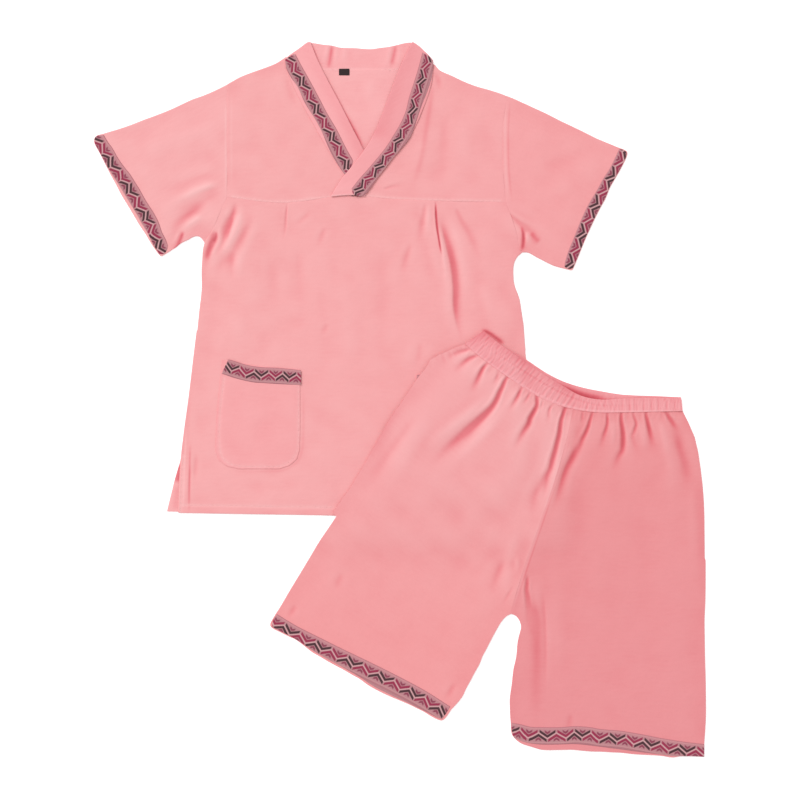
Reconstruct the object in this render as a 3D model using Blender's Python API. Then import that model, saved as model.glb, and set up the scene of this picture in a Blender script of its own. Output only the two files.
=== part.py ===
# A two-piece cotton set laid flat: a short-sleeved V-neck top, and shorts that lie over the top's
# lower right corner. Metres, +Z up. The cloth lies on the plane z = 0, and the middle of the set's
# outline is at the origin. +Y runs from the hems towards the collar.
#
# Every piece of cloth is a wall of even thickness. Its plan is a loft through sections, and its
# underside follows what it lies on. A section is a row with three points: where it starts, where
# its middle lies and where it ends. They are in millimetres from the garment's own mark, which is
# the middle of the top's hem, or the middle of the shorts' waist.

import math
from collections import namedtuple

import bmesh
import bpy
import numpy as np

MM = 0.001

TOP_MARK = (-59.9, -170.2)      # where the top's mark lies, in millimetres
SHORTS_MARK = (270.1, -6.7)     # where the shorts' mark lies

CLOTH = 1.0                     # wall of one layer of cloth
RIBBON = 1.0                    # wall of the woven ribbon
BAND = 1.8                      # wall of the waist casing with its elastic
LAYER_GAP = 0.35                # air between two layers that lie on each other
SEAM_GAP = 0.3                  # air between two pieces that are sewn edge to edge
FIRST_LAYER = CLOTH + LAYER_GAP  # how high the second layer of cloth lies

TOP_LOFT = 1.0                  # air between the front and the back of the top, away from its edges
SHORTS_LOFT = 2.1               # the same in the shorts, whose gathers hold the layers apart
LOFT_FALL = 260.0               # how far below the waist that air has gone down to a half
LOFT_LIMIT = 2.4                # the most air that a gather may leave under it
EDGE_ROUND = 45.0               # how far in from an outline the layers come together
TOP_FOLD_MARGIN = 15.0          # how far in from an outline a fold reaches its depth
SHORTS_FOLD_MARGIN = 12.0
CREST = 0.45                    # how far a ridge beside a fold stands up, as a share of its depth
CREST_AT, CREST_HALF = 1.3, 0.6  # where it lies and how wide it is, in halves of the fold's width
FOLD_START, FOLD_WIDENS = 0.75, 0.5  # a fold's width at its start, and how much it gains by its end
FOLD_FADE_IN, FOLD_FADE_OUT = 0.3, 0.75  # shares of its length
SHARP_ANGLE = 35                # degrees

Section = namedtuple("Section", "start middle end")
Fold = namedtuple("Fold", "start middle end width depth")
Panel = namedtuple("Panel", "plan underside thickness")


# The top, in millimetres from the middle of its hem

YOKE_SEAM = [(-198, 475), (-172, 471), (-109, 466), (-60, 472), (-15, 476), (60, 471), (112, 469), (220, 467)]
BACK_SHOULDERS = [
    (-198, 645), (-157, 661), (-112, 679), (-90, 672), (-70, 665), (-45, 664), (0, 664), (45, 664),
    (72, 665), (88, 669), (106, 674), (120, 663), (157, 646), (223, 623),
]
BACK_BAND_EDGE = [(-79, 701), (-60, 703), (-45, 701), (-15, 697), (15, 695), (45, 698), (60, 702), (79, 702)]

# From the shoulder down to the yoke seam: armhole, middle, neck
LEFT_YOKE = [
    Section((-198, 645), (-157, 661), (-107, 682)),
    Section((-198, 616), (-153, 633), (-99, 658)),
    Section((-198, 588), (-145, 603), (-84, 625)),
    Section((-198, 559), (-136, 573), (-66, 592)),
    Section((-198, 534), (-127, 544), (-47, 559)),
    Section((-198, 511), (-118, 517), (-28, 528)),
    Section((-198, 492), (-112, 495), (-16, 507)),
    Section((-198, 475), (-108, 467), (-12, 475)),
]
# From the shoulder down to the yoke seam: neck, middle, armhole
RIGHT_YOKE = [
    Section((103, 679), (157, 646), (223, 623)),
    Section((104, 657), (160, 624), (218, 603)),
    Section((97, 630), (156, 597), (215, 576)),
    Section((82, 592), (148, 564), (214, 550)),
    Section((58, 555), (136, 532), (215, 523)),
    Section((30, 517), (124, 502), (217, 495)),
    Section((2, 475), (112, 469), (220, 467)),
]
# From the yoke seam down to the armpits: left armhole, the knife pleat, right armhole
FRONT_ABOVE_ARMPIT = [
    Section((-198, 474), (114, 469), (220, 467)),
    Section((-208, 453), (117, 438), (226, 450)),
    Section((-219, 427), (121, 411), (234, 427)),
    Section((-232, 407), (127, 390), (241, 396)),
]
# From the armpits down to the hem: left side, below the knife pleat, right side
FRONT_BELOW_ARMPIT = [
    Section((-232, 407), (127, 390), (241, 396)),
    Section((-235, 387), (133, 372), (232, 382)),
    Section((-236, 358), (139, 343), (228, 355)),
    Section((-239, 313), (142, 303), (238, 313)),
    Section((-247, 246), (153, 246), (248, 246)),
    Section((-256, 171), (159, 171), (256, 171)),
    Section((-266, 96), (162, 93), (263, 96)),
    Section((-269, 58), (165, 51), (267, 48)),
    Section((-271, 2), (168, -6), (271, -9)),
]
BACK_ABOVE_ARMPIT = [
    Section((-198, 645), (2, 664), (223, 623)),
    Section((-198, 606), (3, 606), (216, 594)),
    Section((-198, 546), (3, 546), (214, 550)),
    Section((-198, 474), (0, 472), (220, 467)),
    Section((-208, 453), (0, 450), (226, 450)),
    Section((-219, 427), (0, 428), (234, 427)),
    Section((-232, 407), (0, 405), (241, 396)),
]
BACK_TO_SLIT = [
    Section((-232, 407), (0, 405), (241, 396)),
    Section((-235, 387), (0, 382), (232, 382)),
    Section((-236, 358), (0, 355), (228, 355)),
    Section((-239, 313), (0, 312), (238, 313)),
    Section((-247, 246), (0, 246), (248, 246)),
    Section((-256, 171), (0, 171), (256, 171)),
    Section((-268, 80), (-1, 79), (264, 80)),
]
# The side slit stands open on the left, so the back's edge runs out past the front's
BACK_BELOW_SLIT = [
    Section((-268, 80), (-1, 79), (264, 80)),
    Section((-277, 49), (-1, 44), (267, 48)),
    Section((-288, 4), (-1, -3), (271, -9)),
]
# From the armhole out to the cuff: top of the arm, middle, underarm. The last two are the ribbon's
LEFT_SLEEVE = [
    Section((-232, 628), (-235, 519), (-246, 416)),
    Section((-270, 612), (-273, 516), (-261, 412)),
    Section((-315, 592), (-304, 508), (-273, 404)),
    Section((-382, 568), (-335, 491), (-289, 396)),
    Section((-396, 565), (-349, 482), (-298, 388)),
]
LEFT_CUFF_BEHIND = Section((-397.5, 565), (-359, 484), (-299, 387))
RIGHT_SLEEVE = [
    Section((259, 608), (262, 508), (259, 390)),
    Section((300, 589), (294, 493), (274, 381)),
    Section((345, 568), (321, 478), (285, 376)),
    Section((386, 547), (342, 465), (306, 372)),
    Section((400, 543), (359, 463), (316, 367)),
]
RIGHT_CUFF_BEHIND = Section((401, 542), (361, 461), (317, 365))
# Down each neck band: the ribbon's outer edge, its inner edge, the free edge of the band
LEFT_BAND = [
    Section((-112, 681), (-100, 688), (-73, 706)),
    Section((-105, 658), (-88, 667), (-63, 681)),
    Section((-90, 624), (-70, 634), (-46, 647)),
    Section((-72, 591), (-50, 601), (-28, 613)),
    Section((-52, 556), (-31, 565), (-10, 577)),
    Section((-34, 526), (-17, 541), (1, 556)),
    Section((-23, 508), (-8, 526), (7, 545)),
]
LEFT_BAND_TUCKED_END = Section((-15, 495), (1, 519), (16, 538))
RIGHT_BAND = [
    Section((109, 678), (96, 692), (79, 706)),
    Section((110, 661), (88, 660), (64, 675)),
    Section((105, 634), (79, 631), (49, 637)),
    Section((95, 607), (70, 609), (39, 610)),
    Section((82, 577), (58, 576), (28, 582)),
    Section((63, 550), (44, 555), (17, 559)),
    Section((45, 526), (27, 533), (2, 537)),
    Section((28, 504), (10, 514), (-12, 519)),
    Section((15, 486), (-4, 498), (-26, 502)),
    Section((8, 476), (-10, 478), (-42, 476)),
]
# From the ribbon's outer edge to the free edge, how far the band sinks from the yoke towards the back
BAND_SINK = [0.0, 0.0, 0.0, 0.35, 0.75, 1.0]
BAND_LOW = 0.3                  # how high its free edge stays above the yoke's underside
# Where the right stretch lies over the left: full height, the slope down from it, and the rise
LAP_FLAT, LAP_SLOPE, LAP_RISE = 14.0, 26.0, 1.4
NECK_LEFT, NECK_RIGHT = -80.0, 80.0     # how far the back stretch of the band runs
# From the mouth down to the foot. The first two are the ribbon's
LEFT_POCKET = [
    Section((-205, 230), (-147, 221), (-89, 216)),
    Section((-207, 208), (-147, 197), (-89, 194)),
    Section((-211, 171), (-150, 164), (-89, 159)),
    Section((-214, 126), (-151, 123), (-89, 126)),
    Section((-215, 96), (-153, 96), (-90, 96)),
    Section((-210, 81), (-153, 81), (-94, 82)),
    Section((-198, 72), (-153, 71), (-105, 73)),
    Section((-180, 68), (-150, 68), (-120, 68)),
]
RIGHT_POCKET = [
    Section((85, 209), (142, 213), (200, 220)),
    Section((85, 187), (142, 189), (202, 199)),
    Section((85, 153), (144, 156), (206, 162)),
    Section((86, 120), (147, 115), (209, 117)),
    Section((88, 90), (148, 88), (211, 87)),
    Section((92, 76), (148, 73), (205, 72)),
    Section((102, 67), (148, 64), (193, 63)),
    Section((115, 63), (147, 61), (177, 60)),
]
TAB_LEFT, TAB_RIGHT = -30.0, -15.0
TAB_LOW, TAB_HIGH = 658.0, 667.0

# The front's columns, as shares from its left side to the knife pleat and on to its right side. They are
# closer at the tuck and the pleat than in the smooth cloth between them
FRONT_TO_PLEAT = [
    0, 0.04, 0.09, 0.15, 0.20, 0.25, 0.285, 0.32, 0.37, 0.43,
    0.52, 0.61, 0.70, 0.78, 0.84, 0.89, 0.93, 0.965, 1,
]
FRONT_PAST_PLEAT = [0, 0.07, 0.16, 0.28, 0.42, 0.58, 0.74, 0.88, 1]

# Folds in the front of the top: a trough has a negative depth
TOP_FOLDS = [
    Fold((114, 466), (139, 366), (153, 250), 30, -1.5),      # knife pleat
    Fold((104, 463), (122, 385), (128, 318), 26, 1.1),       # the roll of cloth beside it
    Fold((151, 448), (175, 396), (188, 370), 28, -0.7),
    Fold((97, 456), (90, 421), (88, 396), 22, -0.6),
    Fold((75, 395), (70, 375), (64, 355), 26, -0.5),
    Fold((-109, 465), (-112, 425), (-115, 408), 18, -0.9),   # left tuck
    Fold((-124, 408), (-135, 321), (-147, 255), 40, -0.8),
    Fold((-91, 411), (-90, 328), (-87, 246), 30, -0.6),
    Fold((-108, 410), (-109, 345), (-112, 270), 26, 0.7),
    Fold((-188, 456), (-203, 432), (-213, 400), 22, -1.1),   # left armpit
    Fold((-220, 411), (-228, 394), (-232, 376), 22, -1.0),
    Fold((-170, 459), (-197, 414), (-228, 365), 26, 0.9),
    Fold((-181, 410), (-204, 387), (-219, 348), 26, -0.9),
    Fold((-186, 394), (-192, 370), (-196, 340), 24, -0.6),
    Fold((228, 452), (248, 438), (267, 424), 22, -0.9),      # right armpit
    Fold((246, 420), (246, 408), (245, 396), 16, -0.6),
]


# The shorts, in millimetres from the middle of their waist

# Across the waistband, from left to right: front edge, back edge, the seam below both
Waist = namedtuple("Waist", "front back seam")
WAIST = [
    Waist((-144, 110), (-145, 108), (-171, 91)),
    Waist((-123, 93), (-124, 93), (-151, 73.5)),
    Waist((-100, 76.5), (-100, 79.5), (-127, 55)),
    Waist((-78, 61.5), (-78, 66), (-103, 39)),
    Waist((-51, 43.5), (-51, 48), (-75, 20)),
    Waist((-25, 28), (-25, 35), (-45, 4.5)),
    Waist((3, 13), (3, 26), (-10, -6)),
    Waist((32, 7.5), (32, 20), (27, -11)),
    Waist((63, 9), (63, 15), (63, -11)),
    Waist((108, 10), (108, 13), (108, -10)),
    Waist((152, 10), (152, 11), (154, -9)),
]
# From the waist down to the crotch, then down to the hem. The last two are the ribbon's
LEFT_LEG_UPPER = [
    Section((-171, 91), (-105, 40), (-10, -6)),
    Section((-199, 79), (-127, 19), (-19, -48)),
    Section((-234, 40), (-153, -23), (-33, -98)),
    Section((-270, 0), (-181, -63), (-49, -146)),
    Section((-307, -63), (-210, -117), (-66, -194)),
    Section((-342, -123), (-237, -174), (-84, -246)),
    Section((-369, -161), (-261, -222), (-104, -312)),
]
LEFT_LEG_LOWER = [
    Section((-369, -161), (-261, -222), (-104, -312)),
    Section((-382, -186), (-272, -242), (-115, -318)),
    Section((-395, -211), (-284, -263), (-123, -330)),
    Section((-420, -260), (-306, -314), (-144, -363)),
    Section((-440, -295), (-321, -353), (-169, -420)),
    Section((-454, -315), (-330, -376), (-195, -453)),
    Section((-461, -330), (-345, -397), (-204, -471)),
]
LEFT_HEM_BEHIND = Section((-461, -332), (-315, -418), (-206, -472))
RIGHT_LEG_UPPER = [
    Section((-10, -6), (63, -11), (154, -9)),
    Section((-19, -48), (64, -54), (172, -48)),
    Section((-33, -98), (55, -103), (181, -94)),
    Section((-49, -146), (48, -150), (186, -146)),
    Section((-66, -194), (40, -199), (187, -196)),
    Section((-84, -246), (33, -252), (187, -250)),
    Section((-104, -312), (30, -312), (184, -310)),
]
RIGHT_LEG_LOWER = [
    Section((-104, -312), (30, -312), (184, -310)),
    Section((-92, -318), (31, -326), (183, -325)),
    Section((-87, -334), (31, -342), (183, -342)),
    Section((-96, -382), (33, -391), (185, -391)),
    Section((-103, -438), (34, -447), (187, -445)),
    Section((-103, -475), (37, -487), (186, -508)),
    Section((-99, -499), (37, -512), (186, -528)),
]
RIGHT_HEM_BEHIND = Section((-94, -505), (37, -519), (186, -529))
# The right hem lies in a shallow wave: along the ribbon's upper edge, its lower edge, and the back's edge
RIGHT_RIBBON_TOP = [
    (-103, -475), (-90, -479), (-45, -483), (-7, -481), (15, -483), (60, -490), (120, -499), (186, -508),
]
RIGHT_RIBBON_FOOT = [
    (-99, -499), (-75, -508), (-45, -508), (-15, -505), (15, -508), (60, -515), (120, -523), (186, -528),
]
RIGHT_BACK_FOOT = [(-94, -505), (-60, -515), (-15, -516), (30, -518), (75, -522), (127, -526), (186, -529)]

# Gathers that fall from the waist seam, from left to right
GATHERS = [
    Fold((-163, 84), (-180, 81), (-200, 72), 14, -1.0),
    Fold((-146, 71), (-168, 66), (-188, 51), 16, -1.2),
    Fold((-136, 64), (-150, 45), (-164, 12), 18, -1.4),
    Fold((-121, 50), (-131, 34), (-141, 16), 14, -0.8),
    Fold((-106, 42), (-122, 8), (-158, -34), 22, -2.0),
    Fold((-88, 30), (-97, 10), (-110, -12), 14, -1.4),
    Fold((-75, 20), (-82, 10), (-94, -4), 13, -1.0),
    Fold((-64, 14), (-70, -15), (-102, -70), 20, -1.7),
    Fold((-54, 9), (-58, -3), (-63, -14), 13, -0.9),
    Fold((-42, 3), (-48, -15), (-52, -34), 14, -0.9),
    Fold((-22, -3), (-33, -52), (-59, -162), 22, -1.8),
    Fold((4, -8), (2, -22), (-1, -38), 14, -0.9),
    Fold((19, -10), (-5, -67), (-45, -175), 22, -1.8),
    Fold((42, -11), (37, -42), (29, -72), 16, -0.9),
    Fold((61, -11), (64, -52), (47, -118), 20, -1.9),
    Fold((79, -11), (83, -36), (80, -74), 16, -1.2),
    Fold((97, -10), (105, -45), (108, -88), 17, -1.5),
    Fold((127, -9), (147, -39), (152, -78), 18, -1.6),
]
# Creases that start and end in the cloth
SHORTS_FOLDS = [
    Fold((-140, -12), (-176, -52), (-228, -94), 34, -1.8),
    Fold((152, -55), (159, -100), (165, -175), 40, -0.9),
    Fold((-80, -252), (-80, -288), (-77, -326), 24, -1.7),
    Fold((-54, -270), (-60, -306), (-67, -356), 46, -0.9),
]
RUCHES = 4                      # small pleats in the waistband between two of its stations
RUCHE_RELIEF = 0.7              # how far they stand up
RUCHE_AT_TOP = 0.4              # the share of it that is left at the band's upper edge

# How the shorts climb over the top: a level margin past the top's edge, then a slope
CLIMB_MARGIN, CLIMB_SLOPE = 12.0, 55.0
POCKET_MARGIN, POCKET_SLOPE = 20.0, 45.0
SHORTS_CLEARANCE = 0.25         # air that the shorts keep above the top, besides the gap between layers
LEG_CLEARANCE = 0.1             # the same between the legs' two layers
WAIST_CLEARANCE = 0.2           # and between the waistband's

TOP_PINK = (0.90, 0.37, 0.39)
SHORTS_PINK = (0.84, 0.31, 0.32)
RIBBON_MAUVE = (0.42, 0.22, 0.24)
TAB_BLACK = (0.02, 0.02, 0.02)


def ease(share):
    """0 at 0 and 1 at 1, level at both ends."""
    share = np.clip(share, 0.0, 1.0)
    return share * share * (3.0 - 2.0 * share)


def smooth_line(points, steps):
    """Points on a smooth curve through the given ones, with a number of steps for each interval."""
    points = np.asarray(points, float)
    lengths = np.maximum(np.linalg.norm(np.diff(points, axis=0), axis=1), 1e-6)
    slopes = np.diff(points, axis=0) / lengths[:, None]
    tangents = np.empty_like(points)
    tangents[0], tangents[-1] = slopes[0], slopes[-1]
    for i in range(1, len(points) - 1):
        before, after = lengths[i - 1], lengths[i]
        tangents[i] = (slopes[i - 1] * after + slopes[i] * before) / (before + after)
    line = [points[0]]
    for i, length in enumerate(lengths):
        for step in range(1, steps[i] + 1):
            t = step / steps[i]
            line.append(
                points[i] * (1 + 2 * t) * (1 - t) ** 2
                + points[i + 1] * t * t * (3 - 2 * t)
                + tangents[i] * length * t * (1 - t) ** 2
                - tangents[i + 1] * length * t * t * (1 - t)
            )
    return np.array(line)


def at_shares(line, shares):
    """Points at shares of a line's length."""
    line = np.asarray(line, float)
    along = np.concatenate([[0.0], np.cumsum(np.linalg.norm(np.diff(line, axis=0), axis=1))])
    along /= along[-1]
    return np.stack([np.interp(shares, along, line[:, k]) for k in (0, 1)], axis=1)


def shares_of(line):
    along = np.concatenate([[0.0], np.cumsum(np.linalg.norm(np.diff(line, axis=0), axis=1))])
    return along / along[-1]


def even(count):
    return np.linspace(0.0, 1.0, count + 1)


def across(section, before, after):
    """Points along one section, at shares before its middle and then after it."""
    line = smooth_line([section.start, section.middle, section.end], [8, 8])
    first = at_shares(line[:9], before)
    second = at_shares(line[8:], after)
    return np.concatenate([first, second[1:]])


def lofted(spans, before, after, steps):
    """The plan of a panel: its sections joined smoothly, with a corner between one span and the next."""
    rows = None
    for span, counts in zip(spans, steps):
        ribs = np.array([across(section, before, after) for section in span])
        columns = [smooth_line(ribs[:, k], counts) for k in range(ribs.shape[1])]
        made = np.stack(columns, axis=1)
        rows = made if rows is None else np.concatenate([rows, made[1:]])
    return rows


def placed(plan, mark):
    return np.asarray(plan, float) + np.array(mark)


def on_curve(row, curve, offset=0.0):
    """A row of points moved along Y onto a curve given as stations from left to right."""
    stations = smooth_line(curve, [6] * (len(curve) - 1))
    row = row.copy()
    row[:, 1] = np.interp(row[:, 0], stations[:, 0], stations[:, 1]) + offset
    return row


def nearest(points, line):
    """For each point, how far it is from a line, and at what share of the line's length."""
    points = np.asarray(points, float).reshape(-1, 1, 2)
    a, b = line[:-1][None], line[1:][None]
    run = b - a
    lengths = np.maximum((run**2).sum(axis=2), 1e-9)
    t = np.clip(((points - a) * run).sum(axis=2) / lengths, 0.0, 1.0)
    gaps = np.linalg.norm(points - (a + t[..., None] * run), axis=2)
    best = gaps.argmin(axis=1)
    index = np.arange(len(best))
    along = shares_of(line)
    share = along[best] + (along[best + 1] - along[best]) * t[index, best]
    return gaps[index, best], share


def inside(points, outline):
    """Whether each point lies inside a closed outline."""
    x, y = np.asarray(points, float).T
    found = np.zeros(len(x), bool)
    for (x1, y1), (x2, y2) in zip(outline, np.roll(outline, -1, axis=0)):
        if y1 != y2:
            found ^= ((y1 > y) != (y2 > y)) & (x < (x2 - x1) * (y - y1) / (y2 - y1) + x1)
    return found


def beyond(points, outline):
    """How far each point lies outside a closed outline, 0 within it."""
    closed = np.concatenate([outline, outline[:1]])
    gaps, _ = nearest(points, closed)
    return np.where(inside(points, outline), 0.0, gaps)


def relief(points, folds, from_seam):
    """The height that a set of folds adds. From a seam they start at full depth, and else they fade in."""
    total = np.zeros(len(points))
    for fold in folds:
        line = smooth_line([fold.start, fold.middle, fold.end], [7, 7])
        gaps, share = nearest(points, line)
        half = fold.width / 2 * (FOLD_START + FOLD_WIDENS * share)
        profile = np.cos(np.clip(gaps / half, 0.0, 1.0) * math.pi / 2) ** 2
        fade = ease((1.0 - share) / FOLD_FADE_OUT)
        if not from_seam:
            fade = fade * ease(share / FOLD_FADE_IN)
        total += fold.depth * profile * fade
        if fold.depth < 0:
            off_crest = np.abs(gaps / half - CREST_AT) / CREST_HALF
            crest = np.cos(np.clip(off_crest, 0.0, 1.0) * math.pi / 2) ** 2
            total -= CREST * fold.depth * crest * fade
    return total


def over(heights, plan, function):
    """Heights on a plan, row by row."""
    flat = plan.reshape(-1, 2)
    return heights + function(flat).reshape(plan.shape[:2])


def material(name, colour, roughness):
    made = bpy.data.materials.new(name)
    made.use_nodes = True
    shader = made.node_tree.nodes["Principled BSDF"]
    shader.inputs["Base Color"].default_value = (*colour, 1.0)
    shader.inputs["Roughness"].default_value = roughness
    shader.inputs["Metallic"].default_value = 0.0
    made.diffuse_color = (*colour, 1.0)
    return made


def build(name, panel, finish, outer=None):
    """One closed wall: its underside is drawn as triangles, then extruded up by its thickness."""
    mesh = bmesh.new()
    rows, columns = panel.plan.shape[:2]
    grid = [
        [mesh.verts.new((x * MM, y * MM, z * MM)) for (x, y), z in zip(row, heights)]
        for row, heights in zip(panel.plan, panel.underside)
    ]
    faces = []
    for i in range(rows - 1):
        for j in range(columns - 1):
            a, b, c, d = grid[i][j], grid[i][j + 1], grid[i + 1][j + 1], grid[i + 1][j]
            faces.append(mesh.faces.new((a, b, c)))
            faces.append(mesh.faces.new((a, c, d)))
    flat = [vertex for row in grid for vertex in row]
    raised = bmesh.ops.extrude_face_region(mesh, geom=faces)["geom"]
    raised = [item for item in raised if isinstance(item, bmesh.types.BMVert)]
    bmesh.ops.translate(mesh, verts=raised, vec=(0.0, 0.0, panel.thickness * MM))
    if outer is not None:
        lift = {
            (round(v.co.x, 7), round(v.co.y, 7)): extra for v, extra in zip(flat, outer.reshape(-1))
        }
        for vertex in raised:
            vertex.co.z += lift[(round(vertex.co.x, 7), round(vertex.co.y, 7))] * MM
    bmesh.ops.recalc_face_normals(mesh, faces=mesh.faces)
    data = bpy.data.meshes.new(name)
    mesh.to_mesh(data)
    mesh.free()
    data.shade_smooth()
    data.set_sharp_from_angle(angle=math.radians(SHARP_ANGLE))
    data.materials.append(finish)
    made = bpy.data.objects.new(name, data)
    bpy.context.scene.collection.objects.link(made)
    return made


def lying_on(panel, rows, columns, thickness):
    """A piece on a stretch of a panel, made from that panel's own points moved out."""
    plan = panel.plan[rows, columns]
    underside = panel.underside[rows, columns] + panel.thickness + SEAM_GAP
    return Panel(plan, underside, thickness)


def drawn_in(edge, towards, amount):
    """An edge moved by an amount towards one side, square to its own run."""
    run = np.gradient(edge, axis=0)
    run /= np.linalg.norm(run, axis=1)[:, None]
    side = np.stack([-run[:, 1], run[:, 0]], axis=1)
    if (side * (np.array(towards) - edge)).sum() < 0:
        side = -side
    return edge + side * amount


def sleeve_plan(armhole, sections, steps):
    """A sleeve starts on the body's own armhole points, one seam away, and runs out to the cuff."""
    shares = shares_of(armhole)
    ribs = [drawn_in(armhole, sections[-1].middle, SEAM_GAP)]
    for section in sections:
        line = smooth_line([section.start, section.middle, section.end], [8, 8])
        ribs.append(at_shares(line, shares))
    ribs = np.array(ribs)
    columns = [smooth_line(ribs[:, k], steps) for k in range(ribs.shape[1])]
    return np.stack(columns, axis=1)


def edge_of(spans, side):
    """One edge of the panel that the spans make, smooth within each span."""
    points = []
    for span in spans:
        line = smooth_line([getattr(section, side) for section in span], [3] * (len(span) - 1))
        points.extend(line if not points else line[1:])
    return np.array(points)


def row_line(section):
    return smooth_line([section.start, section.middle, section.end], [8, 8])


def top_outline():
    """The front layer's outline, from the left shoulder round by the hem to the right shoulder."""
    below = FRONT_BELOW_ARMPIT
    left_sleeve, right_sleeve = [LEFT_SLEEVE], [RIGHT_SLEEVE]
    return placed(
        np.concatenate([
            row_line(LEFT_YOKE[0])[::-1],
            edge_of(left_sleeve, "start"),
            row_line(LEFT_SLEEVE[-1]),
            edge_of(left_sleeve, "end")[::-1],
            edge_of([below], "start"),
            row_line(below[-1]),
            edge_of([below], "end")[::-1],
            edge_of(right_sleeve, "end"),
            row_line(RIGHT_SLEEVE[-1])[::-1],
            edge_of(right_sleeve, "start")[::-1],
            row_line(RIGHT_YOKE[0])[::-1],
        ]),
        TOP_MARK,
    )


def shorts_outline():
    """The front layer's outline, from the left end of the waist round by the hems and back."""
    left, right = [LEFT_LEG_UPPER, LEFT_LEG_LOWER], [RIGHT_LEG_UPPER, RIGHT_LEG_LOWER]
    return placed(
        np.concatenate([
            edge_of(left, "start"),
            row_line(LEFT_LEG_LOWER[-1]),
            edge_of([LEFT_LEG_LOWER], "end")[::-1],
            edge_of([RIGHT_LEG_LOWER], "start"),
            row_line(RIGHT_LEG_LOWER[-1]),
            edge_of(right, "end")[::-1],
            smooth_line([station.front for station in WAIST], [3] * (len(WAIST) - 1))[::-1],
        ]),
        SHORTS_MARK,
    )


TOP_EDGE = top_outline()
SHORTS_EDGE = shorts_outline()


def top_front_height(points):
    """Underside of the top's front layer."""
    gaps, _ = nearest(points, TOP_EDGE)
    rounding = ease(gaps / EDGE_ROUND)
    folds = relief(points - np.array(TOP_MARK), TOP_FOLDS, False)
    loft = TOP_LOFT * rounding + folds * ease(gaps / TOP_FOLD_MARGIN)
    return FIRST_LAYER + np.maximum(loft, 0.0)


def shorts_back_height(points):
    """Underside of the shorts: on the floor, or over the top's corner and its pocket."""
    away = beyond(points, TOP_EDGE)
    gaps, _ = nearest(points, TOP_EDGE)
    loft = TOP_LOFT * ease((gaps + CLIMB_MARGIN) / EDGE_ROUND)
    lift = np.where(away > 0, TOP_LOFT / 2, loft)
    on_top = FIRST_LAYER + CLOTH + LAYER_GAP + SHORTS_CLEARANCE + lift
    climb = 1.0 - ease((away - CLIMB_MARGIN) / CLIMB_SLOPE)
    pocket = placed(pocket_outline(RIGHT_POCKET), TOP_MARK)
    swell = 1.0 - ease((beyond(points, pocket) - POCKET_MARGIN) / POCKET_SLOPE)
    return on_top * climb + (CLOTH + RIBBON + 2 * SEAM_GAP) * swell


def pocket_outline(sections):
    return np.concatenate([
        edge_of([sections], "start"),
        row_line(sections[-1]),
        edge_of([sections], "end")[::-1],
    ])


def shorts_front_height(points):
    """Height of the shorts' front layer above the underside of the back one."""
    gaps, _ = nearest(points, SHORTS_EDGE)
    local = points - np.array(SHORTS_MARK)
    folds = relief(local, GATHERS, True) + relief(local, SHORTS_FOLDS, False)
    left_over = 1.0 - ease(-local[:, 1] / LOFT_FALL) / 2
    loft = SHORTS_LOFT * left_over * ease(gaps / EDGE_ROUND)
    height = loft + folds * ease(gaps / SHORTS_FOLD_MARGIN)
    return FIRST_LAYER + LEG_CLEARANCE + np.clip(height, 0.0, LOFT_LIMIT)


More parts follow.
